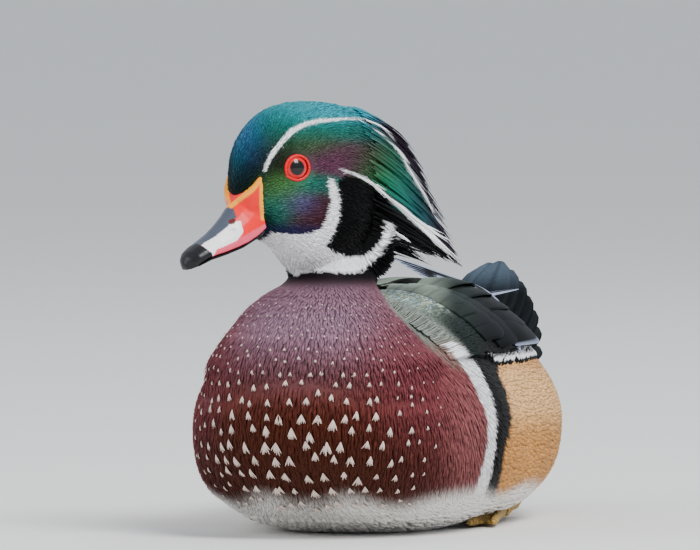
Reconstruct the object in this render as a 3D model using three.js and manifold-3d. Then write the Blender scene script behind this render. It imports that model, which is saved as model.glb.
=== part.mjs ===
// A wood duck drake (Aix sponsa) afloat and at rest, life size, as a museum model that sits on its belly.
// Millimetres. +X is the body's heading, +Y its left side, +Z up. The origin is on the floor under the belly.
// The head has a frame of its own: X forward, Y to its left, Z up, from the point midway between the eyes.
import * as THREE from "three";
import { mergeVertices } from "three/addons/utils/BufferGeometryUtils.js";
import Module from "manifold-3d";

const wasm = await Module();
wasm.setup();

const GAP = 0.3; // what touching pieces keep between them
const FAR = 500; // half the side of a block that is larger than the duck
const LEFT = 1;
const RIGHT = -1;
const SIDES = { left: LEFT, right: RIGHT };

// The body's driving sizes
const BREAST_FRONT = 126;
const BREAST_LEVEL = 54;
const RUMP_END = -150;
const NECK_BASE = { at: [60, 0, 88], up: [0.2, 0, 0.98] };
const THROAT_BASE = { at: [60, -4, 112], up: [0.37, -0.25, 0.9] };
const TAIL_BASE = { at: [-122, 0, 62], up: [-0.94, 0, 0.34] };
const HEAD_AT = [84, -18.5, 145];
const HEAD_TURN = THREE.MathUtils.degToRad(-34);
const HEAD_LIFT = THREE.MathUtils.degToRad(3.2); // how far the bill is raised
const HEAD_LEAN = 0.056; // how far the head's sections lean forward for each millimetre of height

// Smooth curves through a few points of each outline: [station, value]
const BACK_LINE = [[-150, 61], [-135, 68], [-115, 76], [-90, 85], [-60, 91], [-30, 93], [10, 93.5], [126, 94]];
const KEEL_LINE = [[-150, 50], [-135, 40], [-115, 25], [-90, 9], [-62, -1], [-30, -3.5], [126, -3.5]];
const PLAN_LINE = [[-150, 9], [-135, 24], [-115, 40], [-90, 53], [-60, 61], [-30, 63.5], [0, 63], [126, 62]];
const GIRTH_LINE = [[-150, 54], [-115, 48], [-60, 38], [0, 35], [126, 42]];
const BACK_ROUND_LINE = [[-150, 1.8], [-60, 1.7], [0, 1.75], [60, 2], [126, 2]]; // how square a section is on top
const BELLY_ROUND = 2.5; // and below its widest level

// The neck's level sections: height, centre, half length and half width
const NECK = [[60, 74, 0, 49, 49], [70.6, 75, -0.5, 46, 45.2], [77.4, 76, -1, 41.5, 40], [84, 76, -1.3, 36, 34.5],
  [90.7, 75, -1.7, 29.5, 28.2], [95.8, 70, -1.5, 24, 22.6], [100.2, 62, -1.5, 19.5, 18.3], [106, 59, -2, 18.2, 17.2],
  [113, 59.5, -3, 18, 16.7], [131, 61, -5, 15, 14]];

// The head from the crest's core to the forehead
const CROWN_LINE = [[-60, 6], [-57, 14], [-51, 21], [-41, 26], [-28, 27.9], [-16, 28], [-5, 26.6], [5, 23.4],
  [12, 18.9], [18, 12.2], [21, 5], [21.8, -2]];
const THROAT_LINE = [[-60, -16], [-50, -27], [-40, -36], [-30, -43], [-20, -45], [-12, -42.5], [-6, -37.5],
  [0, -33], [8, -30], [14, -26], [20, -18], [21.8, -12]];
const CHEEK_LINE = [[-60, 5], [-56, 9.5], [-48, 14], [-38, 18], [-26, 20], [-12, 18.6], [0, 15.8], [6, 14.2],
  [14, 11.2], [18, 9.2], [20.8, 5.4], [21.8, 2]];
const CHEEK_LEVEL = [[-60, -4], [-40, -10], [-20, -14], [0, -8], [21.8, -7]];

// The bill, in a frame of its own along its length
const BILL_AT = [19.7, 0, -23.3];
const BILL_DROOP = THREE.MathUtils.degToRad(34);
const CULMEN_LINE = [[-20, 14], [-10, 11], [-3, 7.4], [2, 5.6], [8, 4.2], [16, 3.2], [23.5, 3], [27, 1.9], [29.2, -0.6]];
const MOUTH_LINE = [[-20, -5.6], [-8, -6.4], [0, -7.1], [10, -5.4], [20, -2.6], [25, -2.4], [28.2, -3.8], [29.2, -3]];
const BILL_PLAN = [[-20, 9], [-10, 9.8], [0, 8.8], [10, 7.6], [18, 7.2], [23.5, 6.6], [27.2, 4.6], [29.2, 1.6]];
const JAW_LINE = [[-16, -9.4], [0, -9.2], [10, -7.4], [20, -4.6], [26, -3.6]];
// The feather edge round the bill in side view, and which way the gap opens at each corner, in gaps
const FOREHEAD_EDGE = { at: [21.3, -15.6], out: [0.6, 1.1] };
const SIDE_TOP_EDGE = { at: [14.5, -3.9], out: [-0.8, 3.1] };
const SIDE_EDGE = { at: [13.1, -13.5], out: [-1.1, 0.1] };
const GAPE_EDGE = { at: [9.8, -24.7], out: [-1.2, -0.3] };
const CHIN_EDGE = { at: [7, -29], out: [-1.2, 0] };
const NOSTRIL = { along: 5.5, up: 0.4, long: 2.1, high: 1.05, deep: 2.4 };

const EYE_OUT = 16;
const EYE_RADIUS = 6.4;
const EYE_FORWARD = THREE.MathUtils.degToRad(12); // the eye looks a little ahead of square
const LID = { round: 0.8, open: THREE.MathUtils.degToRad(45), corner: THREE.MathUtils.degToRad(7) };

const MATERIALS = {
  head_feather: new THREE.MeshStandardMaterial({ color: 0x14523f, roughness: 0.45, metalness: 0.2 }),
  breast_feather: new THREE.MeshStandardMaterial({ color: 0x5c2326, roughness: 0.6 }),
  crest_feather: new THREE.MeshStandardMaterial({ color: 0x17353a, roughness: 0.45, metalness: 0.2 }),
  flight_feather: new THREE.MeshStandardMaterial({ color: 0x1a1f22, roughness: 0.4, metalness: 0.1 }),
  tail_feather: new THREE.MeshStandardMaterial({ color: 0x1b1e20, roughness: 0.5 }),
  bill_horn: new THREE.MeshStandardMaterial({ color: 0xd9564f, roughness: 0.4 }),
  jaw_horn: new THREE.MeshStandardMaterial({ color: 0x1b1718, roughness: 0.4 }),
  eye_glass: new THREE.MeshStandardMaterial({ color: 0xd01f1a, roughness: 0.05 }),
  lid_skin: new THREE.MeshStandardMaterial({ color: 0xe0232b, roughness: 0.45 }),
  foot_skin: new THREE.MeshStandardMaterial({ color: 0xb58a35, roughness: 0.55 }),
};

// Reads a smooth curve through the points of an outline at any station.
function through(points) {
  const last = points.length - 1;
  const slopes = points.map((_, i) => {
    const before = points[Math.max(i - 1, 0)];
    const after = points[Math.min(i + 1, last)];
    return (after[1] - before[1]) / (after[0] - before[0]);
  });
  return (station) => {
    const at = THREE.MathUtils.clamp(station, points[0][0], points[last][0]);
    let i = 0;
    while (i < last - 1 && points[i + 1][0] < at) i++;
    const span = points[i + 1][0] - points[i][0];
    const t = (at - points[i][0]) / span;
    const rise = 3 * t ** 2 - 2 * t ** 3;
    return (
      (1 - rise) * points[i][1] +
      rise * points[i + 1][1] +
      (t ** 3 - 2 * t ** 2 + t) * span * slopes[i] +
      (t ** 3 - t ** 2) * span * slopes[i + 1]
    );
  };
}

// A closed skin over rings of points that run the same way round. From the side numbered alike on, its
// quads are split the other way, so that the under face of a thin blade is split like its upper face.
function loft(rings, alike = Infinity) {
  const count = rings[0].length;
  const points = rings.flat();
  const faces = [];
  for (let ring = 0; ring < rings.length - 1; ring++) {
    for (let i = 0; i < count; i++) {
      const a = ring * count + i;
      const b = ring * count + ((i + 1) % count);
      const c = a + count;
      const d = b + count;
      if (i < alike) faces.push(a, b, d, a, d, c);
      else faces.push(a, b, c, b, d, c);
    }
  }
  const closeEnd = (ring, turned) => {
    const centre = rings[ring].reduce((sum, p) => sum.add(p), new THREE.Vector3()).divideScalar(count);
    points.push(centre);
    for (let i = 0; i < count; i++) {
      const pair = [ring * count + i, ring * count + ((i + 1) % count)];
      faces.push(points.length - 1, ...(turned ? pair.reverse() : pair));
    }
  };
  closeEnd(0, true);
  closeEnd(rings.length - 1, false);
  return new THREE.BufferGeometry().setFromPoints(points).setIndex(faces);
}

// A closed geometry as a solid that can be joined and cut.
function solid(geometry) {
  const bare = new THREE.BufferGeometry().setAttribute("position", geometry.getAttribute("position"));
  const merged = mergeVertices(bare.setIndex(geometry.index), 1e-4);
  const vertProperties = new Float32Array(merged.getAttribute("position").array);
  const triVerts = new Uint32Array(merged.index.array);
  const make = () => new wasm.Manifold(new wasm.Mesh({ numProp: 3, vertProperties, triVerts }));
  if (make().volume() < 0) triVerts.reverse();
  return make();
}

function geometryOf(body) {
  const { numProp, vertProperties, triVerts } = body.getMesh();
  const points = [];
  for (let i = 0; i < vertProperties.length; i += numProp) {
    points.push(new THREE.Vector3(vertProperties[i], vertProperties[i + 1], vertProperties[i + 2]));
  }
  return new THREE.BufferGeometry().setFromPoints(points).setIndex(new THREE.BufferAttribute(triVerts, 1));
}

const largest = (body) => body.decompose().sort((a, b) => b.volume() - a.volume())[0];
const fuse = (pieces) => largest(wasm.Manifold.union(pieces));
const moved = (body, matrix) => solid(geometryOf(body).applyMatrix4(matrix));
const vector = (values) => new THREE.Vector3(...values);

// The block of space on the upper side of a plane, which starts a given distance along the plane's normal.
function above({ at, up }, start = 0) {
  const normal = vector(up).normalize();
  const block = new THREE.BoxGeometry(2 * FAR, 2 * FAR, 2 * FAR).translate(0, 0, FAR + start);
  block.applyQuaternion(new THREE.Quaternion().setFromUnitVectors(new THREE.Vector3(0, 0, 1), normal));
  return solid(block.translate(...at));
}

// A flat ring round a centre, egg-shaped: its upper and lower halves have a height and a squareness each.
function eggRing(count, half, top, level, under, topRound, underRound, place) {
  return Array.from({ length: count }, (_, i) => {
    const angle = (2 * Math.PI * i) / count;
    const high = Math.cos(angle) >= 0;
    const power = 2 / (high ? topRound : underRound);
    const across = Math.sign(Math.sin(angle)) * Math.abs(Math.sin(angle)) ** power * half;
    const rise = Math.abs(Math.cos(angle)) ** power * (high ? top - level : under - level);
    return place(across, level + rise);
  });
}

// The body

const backAt = through(BACK_LINE);
const keelAt = through(KEEL_LINE);
const planAt = through(PLAN_LINE);
const girthAt = through(GIRTH_LINE);
const backRoundAt = through(BACK_ROUND_LINE);

// The body's section at a station; in front of the middle it closes on the breast like a blunt egg.
function bodySection(x) {
  const cap = Math.sqrt(Math.max(1 - (Math.max(x, 0) / BREAST_FRONT) ** 3, 0));
  const towards = (line) => BREAST_LEVEL + (line(x) - BREAST_LEVEL) * cap;
  return { half: planAt(x) * cap, top: towards(backAt), level: towards(girthAt), under: towards(keelAt) };
}

// A point over the body's upper surface, at an angle in degrees from the back's middle towards the left.
function onBody(x, degrees, lift = 0) {
  const pointAt = (station, angle) => {
    const { half, top, level } = bodySection(station);
    const across = Math.sin(angle);
    const rise = Math.cos(angle);
    return new THREE.Vector3(
      station,
      Math.sign(across) * Math.abs(across) ** (2 / backRoundAt(station)) * half,
      level + Math.sign(rise) * Math.abs(rise) ** (2 / backRoundAt(station)) * (top - level),
    );
  };
  const angle = THREE.MathUtils.degToRad(degrees);
  const here = pointAt(x, angle);
  const along = pointAt(x - 1, angle).sub(pointAt(x + 1, angle));
  const round = pointAt(x, angle + 0.03).sub(pointAt(x, angle - 0.03));
  return here.addScaledVector(round.cross(along).normalize(), lift);
}

function wholeTorso(grow = 0) {
  const stations = [];
  for (let x = RUMP_END; x < 0; x += 15) stations.push(x);
  for (let i = 0; i <= 9; i++) stations.push(BREAST_FRONT * Math.sin((i * 0.995 * Math.PI) / 18));
  const rings = stations.map((x) => {
    const { half, top, level, under } = bodySection(x);
    const place = (y, z) => new THREE.Vector3(x, y, z);
    return eggRing(32, half + grow, top + grow, level, under - grow, backRoundAt(x), BELLY_ROUND, place);
  });
  return solid(loft(rings));
}

function wholeNeck(grow = 0) {
  const rings = NECK.map(([z, x, y, long, wide], i) => {
    const turn = (HEAD_TURN * i) / (NECK.length - 1);
    return Array.from({ length: 28 }, (_, k) => {
      const angle = (2 * Math.PI * k) / 28;
      const point = new THREE.Vector3((long + grow) * Math.cos(angle), (wide + grow) * Math.sin(angle), z);
      return point.applyAxisAngle(new THREE.Vector3(0, 0, 1), turn).add(new THREE.Vector3(x, y, 0));
    });
  });
  return solid(loft(rings));
}

// The head, in its own frame

const headTurn = new THREE.Euler(0, -HEAD_LIFT, HEAD_TURN, "ZYX");
const headFrame = new THREE.Matrix4().makeRotationFromEuler(headTurn).setPosition(...HEAD_AT);
const crownAt = through(CROWN_LINE);
const throatAt = through(THROAT_LINE);
const cheekAt = through(CHEEK_LINE);
const cheekLevelAt = through(CHEEK_LEVEL);

function wholeHead() {
  const stations = [-60, -57, -52, -46, -39, -32, -25, -18, -11, -4, 3, 9, 14, 18, 20.5, 21.8];
  const rings = stations.map((x) => {
    const place = (y, z) => new THREE.Vector3(x + HEAD_LEAN * z, y, z);
    return eggRing(30, cheekAt(x), crownAt(x), cheekLevelAt(x), throatAt(x), 2, 2.1, place);
  });
  return solid(loft(rings));
}

// A solid that is an outline in the head's side view, drawn right across the head.
function headPrism(outline) {
  const shape = new THREE.Shape(outline.map(([x, z]) => new THREE.Vector2(x, z)));
  const block = new THREE.ExtrudeGeometry(shape, { depth: 80, bevelEnabled: false, steps: 1 });
  return solid(block.translate(0, 0, -40).rotateX(Math.PI / 2));
}

const billFrame = new THREE.Matrix4().makeRotationY(BILL_DROOP).setPosition(...BILL_AT);
const culmenAt = through(CULMEN_LINE);
const mouthAt = through(MOUTH_LINE);
const billPlanAt = through(BILL_PLAN);
const jawAt = through(JAW_LINE);

// A point of the bill's side view, given along and across the bill, as a place in the head's side view.
function onBillSide(along, up) {
  const point = new THREE.Vector3(along, 0, up).applyMatrix4(billFrame);
  return [point.x, point.z];
}

function upperBillLoft() {
  const stations = [-20, -10, -3, 2, 7, 12, 17, 21, 24.5, 27, 28.6, 29.2];
  const rings = stations.map((along) => {
    const place = (y, z) => new THREE.Vector3(along, y, z);
    const mouth = mouthAt(along);
    const lip = Math.min(1.2, 0.3 * (culmenAt(along) - mouth));
    const round = along < 16 ? 1.75 : 2.1;
    return eggRing(18, billPlanAt(along), culmenAt(along), mouth + lip, mouth, round, 5, place);
  });
  return moved(solid(loft(rings)), billFrame);
}

function lowerBillLoft() {
  const rings = [-16, -5, 4, 12, 19, 25.5].map((along) => {
    const place = (y, z) => new THREE.Vector3(along, y, z);
    const top = mouthAt(along) - GAP;
    const half = billPlanAt(along) - 1.3;
    return eggRing(12, half, top, top - 0.4, jawAt(along), 6, 2.2, place);
  });
  return moved(solid(loft(rings)), billFrame);
}

function nostril(side) {
  const pit = new THREE.SphereGeometry(1, 8, 6).scale(NOSTRIL.long, NOSTRIL.deep, NOSTRIL.high);
  const out = billPlanAt(NOSTRIL.along) * 0.86;
  pit.translate(NOSTRIL.along, side * out, NOSTRIL.up);
  return solid(pit.deleteAttribute("normal").deleteAttribute("uv").applyMatrix4(billFrame));
}

const mouthLine = [-9, -2, 5, 12, 20, 36].map((along) => onBillSide(along, mouthAt(along)));

// A corner of the feather edge, moved out by a margin.
const edgeCorner = ({ at, out }, margin) => [at[0] + out[0] * margin, at[1] + out[1] * margin];

// The outline of the bare bill in side view, from the mouth line round the forehead to the gape.
function billOutline(margin) {
  const feathers = [FOREHEAD_EDGE, SIDE_TOP_EDGE, SIDE_EDGE, GAPE_EDGE].map((edge) => edgeCorner(edge, margin));
  return [...mouthLine.slice(1), [60, -40], [60, feathers[0][1]], ...feathers];
}

function jawOutline(margin) {
  const chin = [GAPE_EDGE, CHIN_EDGE].map((edge) => edgeCorner(edge, margin));
  const mouth = mouthLine.slice(1).reverse().map(([x, z]) => [x, z + margin]);
  return [[60, -60], ...mouth, ...chin, [chin[1][0] - 1, -60]];
}

function eyeFrame(side) {
  const out = new THREE.Vector3(Math.sin(EYE_FORWARD), side * Math.cos(EYE_FORWARD), 0);
  const ahead = new THREE.Vector3(Math.cos(EYE_FORWARD), -side * Math.sin(EYE_FORWARD), 0);
  const centre = new THREE.Vector3(0, side * EYE_OUT, 0).addScaledVector(out, -EYE_RADIUS);
  return { out, ahead, centre };
}

function eyeball(side, grow = 0) {
  const ball = new THREE.SphereGeometry(EYE_RADIUS + grow, 18, 11).rotateX(Math.PI / 2);
  ball.deleteAttribute("normal").deleteAttribute("uv");
  return solid(ball.translate(...eyeFrame(side).centre));
}

// The bare ring of skin round the eye: an almond with its corner low in front, laid on the eyeball.
function lidRing(side, grow = 0) {
  const { out, ahead, centre } = eyeFrame(side);
  const up = new THREE.Vector3(0, 0, 1);
  const reach = EYE_RADIUS + GAP + LID.round;
  const count = 22;
  const sides = 6;
  const points = [];
  const faces = [];
  for (let i = 0; i < count; i++) {
    const turn = (2 * Math.PI * i) / count;
    const fromCorner = Math.abs(Math.atan2(Math.sin(turn + 0.72), Math.cos(turn + 0.72)));
    const spread = LID.open + LID.corner * Math.exp(-3.2 * fromCorner);
    const flat = ahead.clone().multiplyScalar(Math.cos(turn)).addScaledVector(up, 0.93 * Math.sin(turn));
    const outward = flat.clone().multiplyScalar(Math.sin(spread)).addScaledVector(out, Math.cos(spread));
    const inPlane = flat.clone().multiplyScalar(Math.cos(spread)).addScaledVector(out, -Math.sin(spread));
    for (let k = 0; k < sides; k++) {
      const angle = (2 * Math.PI * k) / sides;
      const point = centre.clone().addScaledVector(outward, reach + (LID.round + grow) * Math.cos(angle));
      points.push(point.addScaledVector(inPlane, (LID.round + grow) * Math.sin(angle)));
      const next = ((i + 1) % count) * sides;
      const a = i * sides + k;
      const b = i * sides + ((k + 1) % sides);
      const c = next + k;
      const d = next + ((k + 1) % sides);
      faces.push(a, b, d, a, d, c);
    }
  }
  return solid(new THREE.BufferGeometry().setFromPoints(points).setIndex(faces));
}

// Feathers

const broadTip = (t) => (t < 0.6 ? 0.62 + 0.38 * (t / 0.6) : Math.sqrt(1 - 0.9 * ((t - 0.6) / 0.4) ** 2));
const pointedTip = (t) => (t < 0.45 ? 0.75 + 0.25 * (t / 0.45) : 1 - 0.86 * ((t - 0.45) / 0.55) ** 1.6);
const lockTaper = (t) => (1 - 0.86 * t ** 1.6) * (0.75 + 0.25 * Math.min(t / 0.3, 1));

// One feather: a thin blade along a curve, a little arched across, thinner towards the tip. Its slant turns it
// about its own length, so that one edge lies over the next feather and the other edge under the one before.
function vane({ through: points, up, width, thick, shape = broadTip, arch = 0.07, steps = 4, slant = 0 }) {
  const curve = new THREE.CatmullRomCurve3(points);
  const rings = Array.from({ length: steps + 1 }, (_, i) => {
    const t = (i / steps) ** 0.85;
    const centre = curve.getPoint(t);
    const ahead = curve.getTangent(t);
    const side = new THREE.Vector3().crossVectors(ahead, up(centre)).normalize();
    side.applyAxisAngle(ahead, THREE.MathUtils.degToRad(slant));
    const rise = new THREE.Vector3().crossVectors(side, ahead).normalize();
    const half = (width * shape(t)) / 2;
    const body = (thick * (1 - 0.35 * t)) / 2;
    const at = (across, lift) => centre.clone().addScaledVector(side, across).addScaledVector(rise, lift);
    const droop = -arch * half;
    return [
      at(-half, droop + body), at(0, -droop + body), at(half, droop + body),
      at(half, droop - body), at(0, -droop - body), at(-half, droop - body),
    ];
  });
  return solid(loft(rings, 3));
}

// One lock of the crest: a flattened, tapered strand with four sides.
function lock({ through: points, up, width, thick, steps = 3 }) {
  const curve = new THREE.CatmullRomCurve3(points);
  const rings = Array.from({ length: steps + 1 }, (_, i) => {
    const t = i / steps;
    const centre = curve.getPoint(t);
    const ahead = curve.getTangent(t);
    const side = new THREE.Vector3().crossVectors(ahead, up(centre)).normalize();
    const rise = new THREE.Vector3().crossVectors(side, ahead).normalize();
    const taper = lockTaper(t);
    const at = (across, lift) => centre.clone().addScaledVector(side, across).addScaledVector(rise, lift);
    return [
      at((-width * taper) / 2, 0), at(0, (thick * taper) / 2 + 0.3),
      at((width * taper) / 2, 0), at(0, (-thick * taper) / 2 - 0.3),
    ];
  });
  return solid(loft(rings, 2));
}

const awayFromBody = (point) => new THREE.Vector3(0, point.y, point.z - 40).normalize();

// The crest

// The line of the crest's tips in side view, from the nape's top to the lower tuft, and how far out they lie.
const CREST_TIPS = [[-65, 15, 1.5], [-75, 2, 2.5], [-84, -14, 3.5], [-91, -28, 5], [-93, -36, 8], [-74, -32, 11]];
const CREST_CUT = { at: [-42, 0, 0], up: [-0.96, 0, -0.28] };

function crestTip(row) {
  const i = Math.min(Math.floor(row), CREST_TIPS.length - 2);
  return vector(CREST_TIPS[i]).lerp(vector(CREST_TIPS[i + 1]), row - i);
}

function crestLocks(side) {
  const rows = CREST_TIPS.length;
  const locks = [];
  for (let tier = 0; tier < 2; tier++) {
    for (let row = 0; row < rows; row++) {
      const share = (row + tier * 0.5) / rows;
      const [tipX, tipZ, tipOut] = crestTip(share * (rows - 1)).toArray();
      const rootX = -53 + 3.6 * tier;
      const angle = Math.PI * (0.04 + 0.66 * share);
      const level = cheekLevelAt(rootX);
      const reach = Math.cos(angle) > 0 ? crownAt(rootX) - level : level - throatAt(rootX);
      const sink = 1.6 - 0.5 * tier;
      const rootY = (cheekAt(rootX) - sink) * Math.sin(angle);
      const rootZ = level + (reach - sink) * Math.cos(angle);
      const root = new THREE.Vector3(rootX, side * rootY, rootZ);
      const full = new THREE.Vector3(tipX, side * (tipOut + 0.8 * tier), tipZ);
      const tip = root.clone().lerp(full, 1 - 0.17 * tier);
      const middle = root.clone().lerp(tip, 0.5);
      middle.y += side * (1.5 + tier) * Math.sin(angle);
      middle.z += 2.2 * Math.cos(angle);
      locks.push(lock({
        through: [root, middle, tip],
        up: (p) => new THREE.Vector3(0, p.y + side * 2, (p.z + 6) * 0.35).normalize(),
        width: 9.6 - 0.9 * tier,
        thick: 2.2,
      }));
    }
  }
  return locks;
}

// The wings, folded: a forearm pad on the back, tiers of scapulars, the tertials, and the crossed primaries

const PAD = { front: 53.7, rear: -84, inner: 7, outer: 54, shoulder: 18 };

function padLift(x, degrees) {
  const along = THREE.MathUtils.clamp((PAD.front - x) / (PAD.front - PAD.rear), 0, 1);
  const round = THREE.MathUtils.clamp((degrees - PAD.inner) / (PAD.outer - PAD.inner), 0, 1);
  const dome = Math.sin(Math.PI * along) ** 0.6 * Math.sin(Math.PI * round) ** 0.5;
  return 1.3 + 3 * dome;
}

function wingPad(side) {
  const columns = 6;
  const lengths = 8;
  const rings = Array.from({ length: lengths + 1 }, (_, i) => {
    const places = Array.from({ length: columns }, (_, k) => {
      const share = k / (columns - 1);
      const front = PAD.front - PAD.shoulder * (2 * share - 1) ** 2;
      return [THREE.MathUtils.lerp(front, PAD.rear, i / lengths), THREE.MathUtils.lerp(PAD.inner, PAD.outer, share)];
    });
    const upper = places.map(([x, angle]) => onBody(x, side * angle, padLift(x, angle)));
    const lower = places.map(([x, angle]) => onBody(x, side * angle, 0.6)).reverse();
    return [...upper, ...lower];
  });
  return solid(loft(rings, columns));
}

function scapulars(side) {
  const vanes = [];
  for (let tier = 0; tier < 3; tier++) {
    const rootX = 42 - 23 * tier;
    for (let k = 0; k < 3; k++) {
      const angle = 15 + 14 * k + (tier % 2) * 4;
      const along = (share, lift) => {
        const x = rootX - 40 * share;
        const round = angle - 3 * share;
        return onBody(x, side * round, padLift(x, round) + lift);
      };
      vanes.push(vane({
        through: [along(0, -0.9), along(0.45, 1.7), along(1, 2.2)],
        up: awayFromBody,
        width: 20,
        thick: 1.1,
        steps: 2,
        slant: 8 * side,
      }));
    }
  }
  return vanes;
}

function tertials(side) {
  return [16, 26, 36, 46].map((angle, k) => vane({
    through: [
      onBody(-24, side * angle, 3),
      onBody(-50, side * (angle - 1), 6.4 - 0.5 * k),
      onBody(-74, side * (angle - 3), 8.6 - 0.9 * k),
      onBody(-95 + 3 * k, side * (angle - 4), 9.6 - 1.3 * k),
    ],
    up: awayFromBody,
    width: 21,
    thick: 1.2,
    steps: 3,
    slant: 8 * side,
  }));
}

// The longest primary's course on each side; the left wing's tips lie over the right wing's.
const PRIMARY_COURSE = {
  left: [[-92, 16, 91.5], [-120, -6, 95], [-150, -36, 101.5]],
  right: [[-92, -14, 84], [-118, 2, 86.5], [-146, 20, 89.5]],
};

function primaries(name) {
  const side = SIDES[name];
  return Array.from({ length: 3 }, (_, k) => {
    const [knee, cross, tip] = PRIMARY_COURSE[name].map(vector);
    const inward = new THREE.Vector3(5 * k, side * (1 + 2.4 * k), -1.2 * k);
    const points = [
      onBody(-34 - 2 * k, side * (50 - 3 * k), 2.2),
      onBody(-62, side * (38 - 4 * k), 4.4 - 0.3 * k),
      knee.clone().addScaledVector(inward, 0.5),
      cross.clone().addScaledVector(inward, 0.8),
      tip.clone().add(inward),
    ];
    points[4].lerp(points[3], 0.12 * k);
    return vane({ through: points, up: awayFromBody, width: 13, thick: 0.9, shape: pointedTip, steps: 5 });
  });
}

// The tail: fourteen graduated feathers, raised and tented, with coverts over and under their roots

const TAIL = { root: [-124, 0, 66], long: 90, pairs: 7, pitch: 1.3 };
const TAIL_SET = { raise: THREE.MathUtils.degToRad(21.5), turn: THREE.MathUtils.degToRad(5), roll: THREE.MathUtils.degToRad(-7) };

const tailFrame = new THREE.Matrix4()
  .makeRotationFromEuler(new THREE.Euler(TAIL_SET.roll, TAIL_SET.raise, TAIL_SET.turn, "ZYX"))
  .setPosition(...TAIL.root);

// One tail feather, laid out flat behind the root and then raised with the whole fan.
function tailVane(side, index, layer, { length, width, thick, spread }) {
  const fan = THREE.MathUtils.degToRad(1.4 + spread * index);
  const tent = 0.42 * index ** 2;
  const at = (share) => {
    const sag = 3 * Math.sin(Math.PI * share) + tent * share ** 2;
    const flat = new THREE.Vector3(-length * share * Math.cos(fan), side * length * share * Math.sin(fan), 0);
    flat.z = -layer - sag;
    return flat.applyMatrix4(tailFrame);
  };
  const roof = THREE.MathUtils.degToRad(2.6 * index);
  const up = new THREE.Vector3(0, side * Math.sin(roof), Math.cos(roof)).transformDirection(tailFrame);
  return vane({ through: [0, 0.35, 0.7, 1].map(at), up: () => up, width, thick, steps: 3, arch: 0.04 });
}

function tailFeathers() {
  const vanes = [];
  for (let index = 0; index < TAIL.pairs; index++) {
    for (const side of [LEFT, RIGHT]) {
      const apart = index < 3 ? 2 * index + (side === LEFT ? 0 : 1) : index + 3;
      const length = TAIL.long - 0.75 * index ** 2;
      vanes.push(tailVane(side, index, apart * TAIL.pitch, { length, width: 19, thick: 0.75, spread: 2.5 }));
    }
  }
  for (let index = 0; index < 2; index++) {
    for (const side of [LEFT, RIGHT]) {
      const over = -2.6 + 0.8 * index;
      vanes.push(tailVane(side, index, over, { length: 44 - 3 * index, width: 17, thick: 1.2, spread: 8 }));
      vanes.push(tailVane(side, index, 17 - index, { length: 52 - 4 * index, width: 19, thick: 1.4, spread: 8 }));
    }
  }
  return vanes;
}

// The feet, folded under the flanks: the shank lies on the floor with the toes forward

const TOES = [
  { tip: [6, 34, 2.4], thick: 2.1 },
  { tip: [14, 42, 2.4], thick: 2.3 },
  { tip: [7, 50, 2.4], thick: 2.1 },
];
const HEEL = [-34, 42, 4.2];
const HOCK = [-68, 38, 7];

// A limb bone with its skin, thicker at its ends, between two places.
function limb(from, to, fromThick, toThick, grow) {
  const start = vector(from);
  const axis = vector(to).sub(start);
  const side = new THREE.Vector3().crossVectors(axis, new THREE.Vector3(0, 0, 1)).normalize();
  const up = new THREE.Vector3().crossVectors(side, axis).normalize();
  const rings = [-0.05, 0.05, 0.5, 0.95, 1.05].map((share) => {
    const end = share < 0 || share > 1 ? 0.45 : 1 - 0.22 * Math.sin(Math.PI * share);
    const thick = THREE.MathUtils.lerp(fromThick, toThick, share) * end + grow;
    return Array.from({ length: 6 }, (_, k) => {
      const angle = (2 * Math.PI * k) / 6;
      const point = start.clone().addScaledVector(axis, share);
      point.addScaledVector(side, thick * Math.cos(angle));
      return point.addScaledVector(up, thick * Math.sin(angle));
    });
  });
  return solid(loft(rings));
}

function web(side, first, second, grow) {
  const corners = [HEEL, first.tip, second.tip].map(([x, y]) => new THREE.Vector2(x, side * y));
  const middle = corners[1].clone().add(corners[2]).multiplyScalar(0.5).lerp(corners[0], 0.16);
  const shape = new THREE.Shape([corners[0], corners[1], middle, corners[2]]);
  const depth = 1.1 + 2 * grow;
  const plate = new THREE.ExtrudeGeometry(shape, { depth, bevelEnabled: false, steps: 1 });
  return solid(plate.translate(0, 0, 1.4 - grow));
}

const mirrored = ([x, y, z], side) => [x, side * y, z];

function foot(side, grow = 0) {
  const heel = mirrored(HEEL, side);
  const pieces = TOES.map(({ tip, thick }) => limb(heel, mirrored(tip, side), thick + 0.6, thick - 0.4, grow));
  pieces.push(web(side, TOES[0], TOES[1], grow), web(side, TOES[1], TOES[2], grow));
  return fuse(pieces);
}

function leg(side, grow = 0) {
  const [heel, hock] = [HEEL, HOCK].map((place) => mirrored(place, side));
  heel[0] -= 4.5;
  return limb(hock, heel, 4.2, 2.9, grow);
}

// Putting it together

const duck = new THREE.Group();
duck.name = "wood_duck";
const head = new THREE.Group();
head.name = "head_group";
head.position.set(...HEAD_AT);
head.rotation.copy(headTurn);
duck.add(head);

function add(group, name, body, material) {
  const mesh = new THREE.Mesh(geometryOf(body), MATERIALS[material]);
  mesh.name = name;
  group.add(mesh);
}

const floorUp = { at: [0, 0, 0], up: [0, 0, 1] };
const flesh = wasm.Manifold.union([wholeTorso(), wholeNeck(), moved(wholeHead(), headFrame)]).intersect(above(floorUp));

const neckUp = flesh.intersect(above(NECK_BASE, GAP / 2));
const tailFlesh = largest(flesh.intersect(above(TAIL_BASE, GAP / 2)));
const feet = Object.values(SIDES).flatMap((side) => [foot(side, GAP + 0.1), leg(side, GAP)]);
const torso = flesh
  .subtract(above(NECK_BASE, -GAP / 2))
  .subtract(above(TAIL_BASE, -GAP / 2))
  .subtract(wasm.Manifold.union(feet));
add(duck, "torso", largest(torso), "breast_feather");
add(duck, "neck", largest(neckUp.subtract(above(THROAT_BASE, -GAP / 2))), "breast_feather");

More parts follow.
